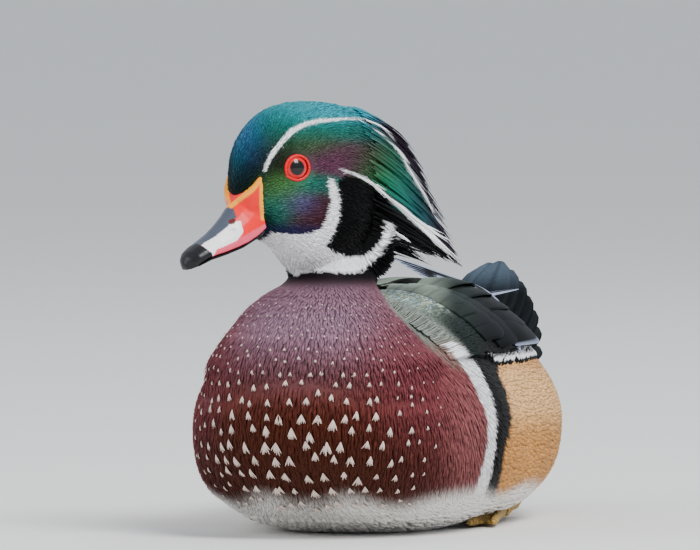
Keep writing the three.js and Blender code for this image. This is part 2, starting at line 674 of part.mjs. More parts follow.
const intoHead = headFrame.clone().invert();
const wholeHeadCut = moved(largest(neckUp.intersect(above(THROAT_BASE, GAP / 2))), intoHead);
const face = wasm.Manifold.union([wholeHeadCut, upperBillLoft()]);
const headPlain = wholeHeadCut.subtract(headPrism(billOutline(GAP))).subtract(headPrism(jawOutline(GAP)));
const eyeSockets = Object.values(SIDES).flatMap((side) => [eyeball(side, GAP), lidRing(side, GAP)]);
const headCut = headPlain.subtract(above(CREST_CUT, -GAP / 2)).subtract(wasm.Manifold.union(eyeSockets));
add(head, "head", largest(headCut), "head_feather");

const crestCore = largest(headPlain.intersect(above(CREST_CUT, GAP / 2)));
const underThroat = above({ at: THROAT_BASE.at, up: THROAT_BASE.up.map((part) => -part) }, -GAP);
const neckClearance = moved(underThroat, intoHead).intersect(above({ at: [-52, 0, 0], up: [1, 0, 0] }));
const crest = fuse([crestCore, ...crestLocks(LEFT), ...crestLocks(RIGHT)]).subtract(neckClearance);
add(head, "crest", largest(crest), "crest_feather");

const nostrils = wasm.Manifold.union([nostril(LEFT), nostril(RIGHT)]);
const upperBill = face.intersect(headPrism(billOutline(0))).subtract(nostrils);
add(head, "bill_upper", largest(upperBill), "bill_horn");
add(head, "bill_lower", largest(lowerBillLoft().intersect(headPrism(jawOutline(0)))), "jaw_horn");

const clearance = wholeTorso(GAP).add(wholeNeck(GAP * 1.4));
for (const [name, side] of Object.entries(SIDES)) {
  add(head, `eye_${name}`, eyeball(side), "eye_glass");
  add(head, `eye_ring_${name}`, lidRing(side), "lid_skin");
  const wing = fuse([wingPad(side), ...scapulars(side), ...tertials(side), ...primaries(name)]).subtract(clearance);
  add(duck, `wing_${name}`, largest(wing), "flight_feather");
  add(duck, `leg_${name}`, leg(side), "foot_skin");
  add(duck, `foot_${name}`, foot(side), "foot_skin");
}
add(duck, "tail", fuse([tailFlesh, ...tailFeathers()]), "tail_feather");

export default duck;
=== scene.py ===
"""A wood duck drake at rest, life size, in its full plumage, over the shared frame of its solids."""

import math

import bpy
import numpy as np
from mathutils import Matrix, Vector


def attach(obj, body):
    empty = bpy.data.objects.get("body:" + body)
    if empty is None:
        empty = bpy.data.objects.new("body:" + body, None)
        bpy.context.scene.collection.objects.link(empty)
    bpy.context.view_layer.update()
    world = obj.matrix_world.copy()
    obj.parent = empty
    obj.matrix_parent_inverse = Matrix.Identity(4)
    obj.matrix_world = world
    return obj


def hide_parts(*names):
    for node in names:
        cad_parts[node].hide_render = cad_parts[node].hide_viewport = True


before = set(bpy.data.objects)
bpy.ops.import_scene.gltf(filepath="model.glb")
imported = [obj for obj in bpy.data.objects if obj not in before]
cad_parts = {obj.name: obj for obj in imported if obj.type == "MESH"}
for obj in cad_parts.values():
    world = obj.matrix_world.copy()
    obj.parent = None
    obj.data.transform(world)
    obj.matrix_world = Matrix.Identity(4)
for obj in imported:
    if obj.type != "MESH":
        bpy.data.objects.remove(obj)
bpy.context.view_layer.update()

MM = 0.001
COAT_DEPTH = 1.5  # how far the skin lies inside the solids, in millimetres
LEFT = 1
RIGHT = -1
SIDES = {"left": LEFT, "right": RIGHT}
SEED = 7
SKIN_LOWEST = 0.6  # how near the floor each kind of surface comes
VANE_LOWEST = 0.2
BLADE_LOWEST = 0.15

# Driving sizes of the bird, in millimetres: +X is its heading, +Y its left, +Z up
BREAST_FRONT = 126.0
BREAST_LEVEL = 54.0
THROAT_AT = np.array([60.0, -4.0, 112.0])
THROAT_UP = np.array([0.37, -0.25, 0.9])
HEAD_AT = np.array([84.0, -18.5, 145.0])
HEAD_TURN = math.radians(-34)
HEAD_LIFT = math.radians(3.2)
HEAD_LEAN = 0.056
EYE_OUT = 16.0
EYE_RADIUS = 6.4
EYE_FORWARD = math.radians(12)
EYE_LOOK = math.radians(19)  # the pupil looks further ahead than the lids

# The camera: where the photo was taken from, and the point of the bird behind the picture's middle
CAMERA_TURN = math.radians(16)
CAMERA_HEIGHT = math.radians(2)
CAMERA_DISTANCE = 4000.0
PICTURE = (700, 550)
FOCAL = 10006.0  # in pixels
SENSOR = 36.0


def curve(points):
    """A smooth curve through points (station, value), read at any station."""
    xs, ys = np.array(points, dtype=float).T
    after = np.minimum(np.arange(len(xs)) + 1, len(xs) - 1)
    before = np.maximum(np.arange(len(xs)) - 1, 0)
    slopes = (ys[after] - ys[before]) / (xs[after] - xs[before])

    def read(station):
        at = np.clip(station, xs[0], xs[-1])
        i = np.clip(np.searchsorted(xs, at, side="left") - 1, 0, len(xs) - 2)
        span = xs[i + 1] - xs[i]
        t = (at - xs[i]) / span
        rise = 3 * t**2 - 2 * t**3
        bend = (t**3 - 2 * t**2 + t) * slopes[i] + (t**3 - t**2) * slopes[i + 1]
        return (1 - rise) * ys[i] + rise * ys[i + 1] + bend * span

    return read


back_at = curve([(-150, 61), (-135, 68), (-115, 76), (-90, 85), (-60, 91), (-30, 93), (10, 93.5),
                 (126, 94)])
keel_at = curve([(-150, 50), (-135, 40), (-115, 25), (-90, 9), (-62, -1), (-30, -3.5), (126, -3.5)])
plan_at = curve([(-150, 9), (-135, 24), (-115, 40), (-90, 53), (-60, 61), (-30, 63.5), (0, 63), (126, 62)])
girth_at = curve([(-150, 54), (-115, 48), (-60, 38), (0, 35), (126, 42)])
back_round_at = curve([(-150, 1.8), (-60, 1.7), (0, 1.75), (60, 2), (126, 2)])
BELLY_ROUND = 2.5
crown_at = curve([(-60, 6), (-57, 14), (-51, 21), (-41, 26), (-28, 27.9), (-16, 28), (-5, 26.6), (5, 23.4),
                  (12, 18.9), (18, 12.2), (21, 5), (21.8, -2)])
throat_at = curve([(-60, -16), (-50, -27), (-40, -36), (-30, -43), (-20, -45), (-12, -42.5), (-6, -37.5),
                   (0, -33), (8, -30), (14, -26), (20, -18), (21.8, -12)])
cheek_at = curve([(-60, 5), (-56, 9.5), (-48, 14), (-38, 18), (-26, 20), (-12, 18.6), (0, 15.8), (6, 14.2),
                  (14, 11.2), (18, 9.2), (20.8, 5.4), (21.8, 2)])
cheek_level_at = curve([(-60, -4), (-40, -10), (-20, -14), (0, -8), (21.8, -7)])
NECK = np.array([(60, 74, 0, 49, 49), (70.6, 75, -0.5, 46, 45.2), (77.4, 76, -1, 41.5, 40),
                 (84, 76, -1.3, 36, 34.5), (90.7, 75, -1.7, 29.5, 28.2), (95.8, 70, -1.5, 24, 22.6),
                 (100.2, 62, -1.5, 19.5, 18.3), (106, 59, -2, 18.2, 17.2), (113, 59.5, -3, 18, 16.7),
                 (131, 61, -5, 15, 14)])
# The bare face in the head's side view, where no feather is rooted
BARE_FACE = [(21.3, -15.6), (14.5, -3.9), (13.1, -13.5), (9.8, -24.7), (7, -29), (7, -60), (60, -60),
             (60, -15.6)]


def unit(vectors):
    return vectors / np.maximum(np.linalg.norm(vectors, axis=-1, keepdims=True), 1e-9)


def ramp(value, start, end):
    """0 before start, 1 after end, smooth between them. End may be lower than start."""
    t = np.clip((value - start) / (end - start), 0, 1)
    return t * t * (3 - 2 * t)


def mix(first, second, share):
    return first + (second - first) * np.asarray(share)[..., None]


def circle(count):
    """Angles spread evenly round a circle."""
    return np.linspace(0, 2 * math.pi, count, endpoint=False)


def linear(*srgb):
    """A display colour of 0 to 255 as linear light."""
    return (np.array(srgb, dtype=float) / 255) ** 2.2


# The camera's view of a point, in the picture's pixels

view_right = np.array([-math.sin(CAMERA_TURN), math.cos(CAMERA_TURN), 0])
view_back = np.array([math.cos(CAMERA_TURN) * math.cos(CAMERA_HEIGHT),
                      math.sin(CAMERA_TURN) * math.cos(CAMERA_HEIGHT), math.sin(CAMERA_HEIGHT)])
view_up = np.cross(view_back, view_right)
camera_target = np.array([0, 0, 100.0]) - 11.0 * view_right
camera_place = camera_target + CAMERA_DISTANCE * view_back


def in_picture(points):
    offset = points - camera_place
    away = -(offset @ view_back)
    across = PICTURE[0] / 2 + FOCAL * (offset @ view_right) / away
    down = PICTURE[1] / 2 - FOCAL * (offset @ view_up) / away
    return np.stack([across, down], axis=-1)


# The head's own frame: forward, left and up from between the eyes

head_matrix = Matrix.Rotation(HEAD_TURN, 3, "Z") @ Matrix.Rotation(-HEAD_LIFT, 3, "Y")
HEAD_AXES = np.array(head_matrix)


def from_head(points):
    return np.asarray(points, dtype=float) @ HEAD_AXES.T + HEAD_AT


def to_head(points):
    return (points - HEAD_AT) @ HEAD_AXES


def head_place(across, down, out):
    """The head's point, a distance out on its left, that shows at a place in the picture."""
    base = from_head(np.array([0.0, out, 0.0]))
    steps = [from_head(np.array([1.0, out, 0.0])), from_head(np.array([0.0, out, 1.0]))]
    start = in_picture(base)
    moves = np.array([in_picture(step) - start for step in steps]).T
    ahead, up = np.linalg.solve(moves, np.array([across, down]) - start)
    return np.array([ahead, out, up])


# Closed skins

def egg(angle, half, top, level, under, top_round, under_round):
    high = np.cos(angle) >= 0
    power = 2 / np.where(high, top_round, under_round)
    across = np.sign(np.sin(angle)) * np.abs(np.sin(angle)) ** power * half
    rise = np.abs(np.cos(angle)) ** power * np.where(high, top - level, under - level)
    return across, level + rise


def body_section(x):
    cap = np.sqrt(np.clip(1 - (np.maximum(x, 0) / BREAST_FRONT) ** 3, 0, None))

    def towards(line):
        return BREAST_LEVEL + (line(x) - BREAST_LEVEL) * cap

    return plan_at(x) * cap, towards(back_at), towards(girth_at), towards(keel_at)


def on_body(x, degrees, lift=0.0):
    """Points over the body, at an angle from the back's middle to the left, and their normals."""
    x, degrees, lift = np.broadcast_arrays(*[np.asarray(value, dtype=float) for value in (x, degrees, lift)])

    def place(station, turn):
        half, top, level, _ = body_section(station)
        power = 2 / back_round_at(station)
        across = np.sign(np.sin(turn)) * np.abs(np.sin(turn)) ** power * half
        rise = np.sign(np.cos(turn)) * np.abs(np.cos(turn)) ** power * (top - level)
        return np.stack([station, across, level + rise], axis=-1)

    turn = np.radians(degrees)
    along = place(x - 1, turn) - place(x + 1, turn)
    around = place(x, turn + 0.03) - place(x, turn - 0.03)
    normal = unit(np.cross(around, along))
    return place(x, turn) + normal * lift[..., None], normal


def loft(rings):
    """Points and triangles of a closed skin over rings of points."""
    count, sides = rings.shape[:2]
    ring, side = np.meshgrid(np.arange(count - 1), np.arange(sides), indexing="ij")
    a = ring * sides + side
    b = ring * sides + (side + 1) % sides
    faces = [np.stack([a, b, b + sides], -1).reshape(-1, 3),
             np.stack([a, b + sides, a + sides], -1).reshape(-1, 3)]
    points = np.concatenate([rings.reshape(-1, 3), rings[:1].mean(1), rings[-1:].mean(1)])
    around = np.arange(sides)
    start = np.full(sides, len(points) - 2)
    last = (count - 1) * sides
    faces.append(np.stack([start, (around + 1) % sides, around], -1))
    faces.append(np.stack([start + 1, last + around, last + (around + 1) % sides], -1))
    return outward(points, np.concatenate(faces))


def outward(points, faces):
    a, b, c = (points[faces[:, i]] for i in range(3))
    if np.einsum("ij,ij->i", a, np.cross(b, c)).sum() < 0:
        faces = faces[:, ::-1]
    return points, faces


def torso_skin(depth):
    x = np.concatenate([np.linspace(-150, 0, 60, endpoint=False),
                        BREAST_FRONT * np.sin(np.linspace(0, 0.995 * math.pi / 2, 48))])
    angle = circle(112)
    half, top, level, under = [value[:, None] for value in body_section(x)]
    round_top = back_round_at(x)[:, None]
    across, up = egg(angle[None], np.maximum(half - depth, 0.5), top - depth, level, under + depth, round_top,
                     BELLY_ROUND)
    along = np.broadcast_to((x * (1 - depth / BREAST_FRONT))[:, None], across.shape)
    return loft(np.stack([along, across, up], -1))


def neck_skin(depth):
    z = np.linspace(NECK[0, 0], NECK[-1, 0], 50)
    x, y, long, wide = [curve(list(zip(NECK[:, 0], NECK[:, i])))(z)[:, None] for i in range(1, 5)]
    turn = (HEAD_TURN * np.linspace(0, 1, len(z)))[:, None]
    angle = circle(80)[None]
    ahead = (long - depth) * np.cos(angle)
    left = (wide - depth) * np.sin(angle)
    ring_x = x + ahead * np.cos(turn) - left * np.sin(turn)
    ring_y = y + ahead * np.sin(turn) + left * np.cos(turn)
    return loft(np.stack([ring_x, ring_y, np.broadcast_to(z[:, None], ring_x.shape)], -1))


def head_skin(depth):
    swing = np.linspace(0, math.pi, 70)
    x = (21.8 - 60) / 2 + (21.8 + 60) / 2 * -np.cos(swing)
    angle = circle(90)[None]
    half, top, level, under = [line(x)[:, None] for line in (cheek_at, crown_at, cheek_level_at, throat_at)]
    across, up = egg(angle, np.maximum(half - depth, 0.5), top - depth, level, under + depth, 2, 2.1)
    along = (x * (1 - depth / 22))[:, None] + HEAD_LEAN * up
    return loft(from_head(np.stack([along, across, up], -1)))


# Objects

def add_object(name, points, faces, colour, material, uv=None):
    """A mesh with its own colours, given in millimetres, that rides on the model."""
    mesh = bpy.data.meshes.new(name)
    mesh.from_pydata((points * MM).tolist(), [], faces.tolist())
    mesh.polygons.foreach_set("use_smooth", np.ones(len(mesh.polygons), dtype=bool))
    paint_layer = mesh.color_attributes.new("paint", "FLOAT_COLOR", "POINT")
    rgba = np.ones((len(points), 4))
    rgba[:, :3] = np.clip(colour, 0, 1)
    paint_layer.data.foreach_set("color", rgba.astype(np.float32).ravel())
    if uv is not None:
        layer = mesh.uv_layers.new(name="OFBake")
        layer.data.foreach_set("uv", uv[faces.ravel()].astype(np.float32).ravel())
    mesh.materials.append(material)
    mesh.update()
    obj = bpy.data.objects.new(name, mesh)
    bpy.context.scene.collection.objects.link(obj)
    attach(obj, "root")
    return obj


def evaluated_mesh(obj):
    graph = bpy.context.evaluated_depsgraph_get()
    mesh = bpy.data.meshes.new_from_object(obj.evaluated_get(graph))
    points = np.empty(len(mesh.vertices) * 3)
    mesh.vertices.foreach_get("co", points)
    mesh.calc_loop_triangles()
    faces = np.empty(len(mesh.loop_triangles) * 3, dtype=int)
    mesh.loop_triangles.foreach_get("vertices", faces)
    bpy.data.meshes.remove(mesh)
    return points.reshape(-1, 3) / MM, faces.reshape(-1, 3)


def blended(points, faces, voxel, rounds):
    """One even, smooth skin round everything that the given closed skins hold."""
    mesh = bpy.data.meshes.new("blend")
    mesh.from_pydata((points * MM).tolist(), [], faces.tolist())
    obj = bpy.data.objects.new("blend", mesh)
    bpy.context.scene.collection.objects.link(obj)
    remesh = obj.modifiers.new("remesh", "REMESH")
    remesh.mode = "VOXEL"
    remesh.voxel_size = voxel * MM
    smooth = obj.modifiers.new("smooth", "SMOOTH")
    smooth.factor = 0.5
    smooth.iterations = rounds
    bpy.context.view_layer.update()
    result = evaluated_mesh(obj)
    bpy.data.objects.remove(obj)
    bpy.data.meshes.remove(mesh)
    return result


def joined(parts):
    points, faces, start = [], [], 0
    for part_points, part_faces in parts:
        points.append(part_points)
        faces.append(part_faces + start)
        start += len(part_points)
    return np.concatenate(points), np.concatenate(faces)


def node_mesh(name, voxel, rounds):
    points, faces = evaluated_mesh(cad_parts[name])
    return blended(points, faces, voxel, rounds)


# Materials

def plumage(name, roughness, metallic=0.0, specular=0.2, streak=0.12, grain=900.0, coat=0.0):
    """Feather: the vertex paint, broken up by a fine grain, with a soft or a glossy surface."""
    material = bpy.data.materials.new(name)
    material.use_nodes = True
    nodes, links = material.node_tree.nodes, material.node_tree.links
    shader = nodes["Principled BSDF"]
    shader.inputs["Roughness"].default_value = roughness
    shader.inputs["Metallic"].default_value = metallic
    shader.inputs["Specular IOR Level"].default_value = specular
    shader.inputs["Coat Weight"].default_value = coat
    shader.inputs["Coat Roughness"].default_value = 0.25
    paint_node = nodes.new("ShaderNodeAttribute")
    paint_node.attribute_name = "paint"
    place = nodes.new("ShaderNodeTexCoord")
    noise = nodes.new("ShaderNodeTexNoise")
    noise.inputs["Scale"].default_value = grain
    noise.inputs["Detail"].default_value = 2.0
    spread = nodes.new("ShaderNodeMapRange")
    for socket, value in (("From Min", 0.3), ("From Max", 0.7), ("To Min", 1 - streak), ("To Max", 1 + streak)):
        spread.inputs[socket].default_value = value
    shade = nodes.new("ShaderNodeVectorMath")
    shade.operation = "SCALE"
    bump = nodes.new("ShaderNodeBump")
    bump.inputs["Strength"].default_value = 0.25
    bump.inputs["Distance"].default_value = 0.0002
    links.new(place.outputs["Object"], noise.inputs["Vector"])
    links.new(noise.outputs["Fac"], spread.inputs["Value"])
    links.new(paint_node.outputs["Color"], shade.inputs[0])
    links.new(spread.outputs["Result"], shade.inputs["Scale"])
    links.new(shade.outputs["Vector"], shader.inputs["Base Color"])
    links.new(noise.outputs["Fac"], bump.inputs["Height"])
    links.new(bump.outputs["Normal"], shader.inputs["Normal"])
    return material


head_feather = plumage("head_feather", roughness=0.4, metallic=0.3, specular=0.12, streak=0.16)
white_feather = plumage("white_feather", roughness=0.7, streak=0.05)
breast_feather = plumage("breast_feather", roughness=0.6, specular=0.08, streak=0.12)
wing_feather = plumage("wing_feather", roughness=0.4, specular=0.012, streak=0.12)
tail_feather = plumage("tail_feather", roughness=0.42, specular=0.012, streak=0.12)
horn = plumage("horn", roughness=0.36, specular=0.3, streak=0.05, grain=400.0, coat=0.1)
eye_glass = plumage("eye_glass", roughness=0.05, specular=0.3, streak=0.03, coat=0.3)
lid_skin = plumage("lid_skin", roughness=0.4, specular=0.3, streak=0.12, grain=1500.0)
foot_skin = plumage("foot_skin", roughness=0.55, streak=0.25, grain=700.0)

# The markings. Places are in the picture's pixels, seen on the bird's left side, and its right side is alike.

# The plumage's colours by name, set with colour readings of the photo and adjusted against the render
FEATHER_COLOURS = {
    # This bright teal is partly the crown's own colour and partly painted sheen along its top.
    "teal_with_painted_sheen": (44, 150, 164),
    "teal": (14, 104, 92),
    "dark_teal": (28, 84, 90),
    "blue": (62, 108, 160),
    "ink": (8, 18, 15),
    "indigo": (36, 38, 76),
    "plum": (42, 29, 45),
    "dark_olive": (36, 36, 22),
    "olive": (54, 77, 45),
    "green": (26, 100, 62),
    "leaf_green": (72, 112, 58),
    "wine": (88, 52, 72),
    "dark_wine": (66, 38, 43),
    "violet": (84, 72, 126),
    # Mauve and grey rose, and rose on the chest's far side, are partly the chest's colour and partly a painted
    # lilac sheen.
    "mauve_with_painted_sheen": (150, 122, 142),
    "grey_rose_with_painted_sheen": (118, 84, 96),
    "rose": (160, 97, 98),
    "maroon": (117, 58, 64),
    "rust": (88, 41, 29),
    "dark_rust": (66, 36, 26),
}
HEAD_PATCHES = {
    # The bright teal along the crown's top and rear is partly the crown's teal and partly painted sheen.
    "crown_top": ((300, 106), (45, 11), "teal_with_painted_sheen"),
    "crown_middle": ((278, 124), (26, 14), "teal"),
    "crown_front": ((243, 126), (15, 22), "blue"),
    "forehead": ((232, 150), (9, 18), "dark_teal"),
    "brow": ((262, 147), (19, 22), "ink"),
    "lore": ((242, 180), (16, 20), "ink"),
    "crown_rear": ((350, 108), (32, 9), "teal_with_painted_sheen"),
    "nape": ((386, 121), (16, 12), "indigo"),
    "crest_back": ((412, 150), (12, 28), "plum"),
    "crest_low": ((436, 212), (14, 28), "plum"),
    "eye_front": ((283, 158), (12, 13), "dark_olive"),
    "over_eye": ((308, 143), (24, 8), "olive"),
    "ear": ((345, 157), (25, 11), "wine"),
    "ear_edge": ((371, 163), (13, 12), "olive"),
    "side_green": ((386, 172), (13, 18), "green"),
    "side_teal": ((403, 186), (13, 28), "teal"),
    "side_low": ((420, 214), (10, 20), "dark_teal"),
    "upper_band": ((345, 131), (40, 7), "teal"),
    "cheek_olive": ((284, 190), (16, 12), "leaf_green"),
    "cheek_teal": ((279, 208), (12, 11), "teal"),
    "cheek_blue": ((300, 203), (12, 8), "violet"),
    "cheek_violet": ((306, 216), (16, 11), "dark_wine"),
    "cheek_brown": ((322, 205), (8, 13), "dark_wine"),
    "under_eye": ((317, 186), (16, 6), "teal"),
    "gape": ((268, 222), (6, 11), "ink"),
    "cheek_edge": ((290, 230), (28, 4), "indigo"),
}
# The upper chest's patches (throat_side, upper, middle, far_side) are lighter and more lilac than its
# purple-brown: partly the feathers' colour and partly a painted lilac sheen.
CHEST_PATCHES = {
    "throat_side": ((330, 300), (30, 10), "grey_rose_with_painted_sheen"),
    "upper": ((325, 320), (42, 18), "mauve_with_painted_sheen"),
    "middle": ((300, 345), (55, 26), "grey_rose_with_painted_sheen"),
    "far_side": ((238, 335), (18, 26), "rose"),
    "near_side": ((398, 335), (26, 26), "maroon"),
    "near_low": ((430, 390), (34, 34), "maroon"),
    "low": ((290, 405), (70, 30), "rust"),
    "far_low": ((212, 400), (18, 36), "rust"),
    "by_bar": ((468, 400), (14, 40), "rose"),
    "waterline": ((300, 450), (90, 22), "dark_rust"),
}
# The bill's colours by their outlines, later ones over earlier ones
BILL_AREAS = [
    ([(205, 270), (213.5, 252), (229, 243), (244, 236), (268, 222), (275, 236), (240, 262)], (234, 78, 104)),
    ([(198, 253), (204, 242), (217, 234), (232, 222), (241, 221), (243.5, 232), (236.5, 241), (217, 249.5),
      (213, 256)], (246, 244, 246)),
    ([(150, 240), (190, 205), (226, 200), (233, 208), (236.5, 217), (228, 226), (216, 236), (204, 243),
      (196, 250), (180, 256)], (70, 76, 88)),
    ([(170, 250), (196, 243), (204, 247), (212, 253), (214, 262), (206, 285), (170, 285)], (20, 20, 24)),
    # The last, dark red in the nostril, is painted shade in its hollow.
    ([(228, 221), (233, 218.5), (236, 220), (235, 223.5), (230, 224.5)], (92, 14, 16)),
]
BILL_RED = linear(238, 12, 16)
# Edges that two markings share: throat's white and nape's black, and the white bar and the black one
COLLAR_EDGE = [(338.5, 190), (340, 200), (339.5, 212), (338.8, 222.4), (331.6, 236.7), (326.9, 247),
               (334.8, 252.7), (347.6, 256.7), (360.4, 256.7), (369.9, 252.7), (379.5, 243), (385, 230.4),
               (389, 220)]
BAR_EDGE = [(463.3, 346.7), (471.7, 356.7), (478.3, 366.7), (485, 380), (490, 391.7), (494, 405),
            (496.7, 418.3), (496, 445), (490, 480), (478, 512)]
THROAT_WHITE = [
    (257, 243), (262, 240), (268, 236), (272.6, 232), (280.6, 233.5), (295, 234.3), (309.3, 233.5),
    (320.5, 228.8), (325.3, 222.4), (329, 212), (331, 200), (329.5, 190), (327.5, 181), (330, 178.5),
    (334, 180), *COLLAR_EDGE, (392, 219), (394.6, 227.2), (391.5, 238.3), (384.3, 249.5), (374.7, 260.7),
    (363.5, 270.2), (352.4, 273.4), (334.8, 272.6), (315.7, 271.5), (304.5, 273.4), (292.6, 276), (280, 277),
    (240, 262),
]
NAPE_BLACK = [
    (338, 181), (345, 176), (358, 178), (370, 184), (380, 192), (390, 203), (398, 213), (410, 221),
    (424, 234), (440, 252), (425, 252), (405, 244), (396, 236), *COLLAR_EDGE[::-1],
]
BEHIND_COLLAR = [(340, 292), (345, 262), (380, 235), (392, 219), (410, 221), (424, 234), (446, 248),
                 (464, 262), (456, 292)]
# White lines: points on the line, with half its width there
BROW_LINE = [(265, 171, 1.3), (268.6, 160, 1.8), (275, 150.6, 2.2), (283.8, 139.4, 2.3), (295, 129, 2.3),
             (307.7, 123.5, 2.0), (318.9, 121, 1.8), (331.6, 119.8, 1.5), (347.6, 118.7, 1.0),
             (362, 118.9, 0.7), (373, 122, 0.6), (384, 128.3, 0.6), (393, 137.8, 0.4)]
CREST_LINE = [(372, 125.5, 0.3), (382.7, 135.5, 0.5), (393.8, 145, 0.8), (403.4, 157, 1.1),
              (411.4, 171.3, 1.2), (419.4, 185.7, 1.1), (427.3, 200, 0.9), (435.3, 212, 0.6)]
crest_line_at = curve([(100, 352), (112, 362), (125.5, 376), (135.5, 384), (145, 394), (157, 403.4),
                       (171.3, 411.4), (185.7, 419.4), (200, 427.3), (212, 435.3), (260, 466)])
PLUM = linear(30, 18, 34)
NAPE_LINE = [(341, 169.5, 0.8), (354, 173.7, 1.3), (366.7, 179.3, 1.5), (376.3, 185.7, 1.6),
             (385.9, 193.7, 1.8), (395.4, 201.6, 2.0), (405, 211.2, 2.3), (416.2, 222.4, 2.8),
             (430, 233, 2.6)]
BILL_BORDER = [(231, 206, 2.2), (240, 199, 2.4), (251, 190, 3.2), (263, 177, 2.6), (262.5, 190, 3.0),
               (262, 204, 2.6), (262.5, 219, 1.6)]
# The upright bars before the flank, and the line where the chest ends at the shoulder
WHITE_BAR = [
    (440, 344), (447.5, 342.5), (455, 341.3),
    *BAR_EDGE,
    (466, 512), (479, 480), (487.5, 445), (488.3, 425), (485, 410), (480, 400), (475, 386.7), (468.3, 375),
    (460, 363.3), (451.7, 353.3), (447.5, 348.3),
]
BLACK_BAR = [
    (470, 340), (478, 340), (498, 352), (498.3, 375), (505, 388.3), (509, 403.3), (511.7, 416.7),
    (510, 433.3), (506, 445), (500, 480), (490, 512), *BAR_EDGE[::-1],
]
bar_rear_at = curve([(340, 478), (351.7, 482), (360, 488.3), (375, 498.3), (388.3, 505), (403.3, 509),
                     (416.7, 511.7), (433.3, 510), (445, 506), (480, 500), (512, 490)])
shoulder_at = curve([(380, 285), (385, 300), (395, 313.3), (405, 323.3), (418, 336.7), (428.3, 348.3),
                     (441.7, 360), (452, 368), (480, 372)])
WHITE = linear(248, 248, 250)
BLACK = linear(10, 10, 12)
BAND = linear(26, 19, 22)


def patched(places, patches, crisp=1.0):
    """Colours that blend from patch to patch, each with its middle, its reach and its colour's name."""
    total = np.zeros((len(places), 3))
    weights = np.full(len(places), 1e-12)
    for (across, down), (wide, high), colour in patches.values():
        far = ((places[:, 0] - across) / wide) ** 2 + ((places[:, 1] - down) / high) ** 2
        weight = np.exp(-0.6 * crisp * np.minimum(far, 80))
        total += weight[:, None] * linear(*FEATHER_COLOURS[colour])
        weights += weight
    return total / weights[:, None]


def within(places, outline):
    """Whether each place lies inside an outline."""
    inside = np.zeros(len(places), dtype=bool)
    x, y = places.T
    for (x1, y1), (x2, y2) in zip(outline, outline[1:] + outline[:1]):
        crosses = (y1 > y) != (y2 > y)
        reach = x1 + (y - y1) * (x2 - x1) / (y2 - y1 if y2 != y1 else 1e-9)
        inside ^= crosses & (x < reach)
    return inside


def line_cover(places, line):
    """How much of a white line covers each place, from 0 to 1."""
    cover = np.zeros(len(places))
    for (x1, y1, half1), (x2, y2, half2) in zip(line, line[1:]):
        step = np.array([x2 - x1, y2 - y1])
        t = np.clip(((places - (x1, y1)) @ step) / (step @ step), 0, 1)
        far = np.linalg.norm(places - (x1, y1) - t[:, None] * step, axis=1)
        half = half1 + (half2 - half1) * t
        cover = np.maximum(cover, ramp(far, half + 0.7, half - 0.5))
    return cover


def left_of_head(points):
    """Where points show in the picture once they are mirrored to the head's left side."""
    local = to_head(points)
    local[:, 1] = np.abs(local[:, 1])
    return in_picture(from_head(local))


def left_of_body(points):
    """The points, mirrored to the body's left side."""
    return np.stack([points[:, 0], np.abs(points[:, 1]), points[:, 2]], -1)


def head_paint(points):
    places = left_of_head(points)
    colour = patched(places, HEAD_PATCHES)
    band = ramp(places[:, 1], 258, 266) * ramp(places[:, 0], 262, 270)
    colour = mix(colour, BAND, band)
    beyond = places[:, 0] - crest_line_at(places[:, 1])
    colour = mix(colour, PLUM, ramp(beyond, 0, 3) * ramp(places[:, 1], 112, 130))
    colour[within(places, NAPE_BLACK) | within(places, BEHIND_COLLAR)] = BLACK
    colour[within(places, THROAT_WHITE)] = WHITE
    for line in (BROW_LINE, CREST_LINE, NAPE_LINE):
        colour = mix(colour, WHITE, line_cover(places, line))
    return colour


def bill_paint(points):
    places = left_of_head(points)
    colour = np.broadcast_to(BILL_RED, points.shape).copy()
    for outline, tint in BILL_AREAS:
        colour[within(places, outline)] = linear(*tint)
    return mix(colour, linear(252, 158, 20), line_cover(places, BILL_BORDER))


# Where the body's colours run into each other: stations along it, or levels above the floor
BACK_FROM_LEVEL = (82, 88)
BACK_FROM_STATION = (46, 36)
BELLY_EDGE = (20, 11)
BURGUNDY_FROM = (-84, -98)
BURGUNDY_LEVEL = (30, 44)
RUMP_FROM = (-104, -116)
TAN = linear(228, 176, 116)
TAN_TOP = linear(204, 140, 80)
TAN_LOW = linear(196, 136, 72)
BELLY = linear(242, 238, 232)
SHOULDER = linear(128, 134, 126)
SHOULDER_LOW = linear(136, 106, 98)
BACK = linear(34, 38, 38)
RUMP = linear(18, 22, 24)
BURGUNDY = linear(70, 28, 38)


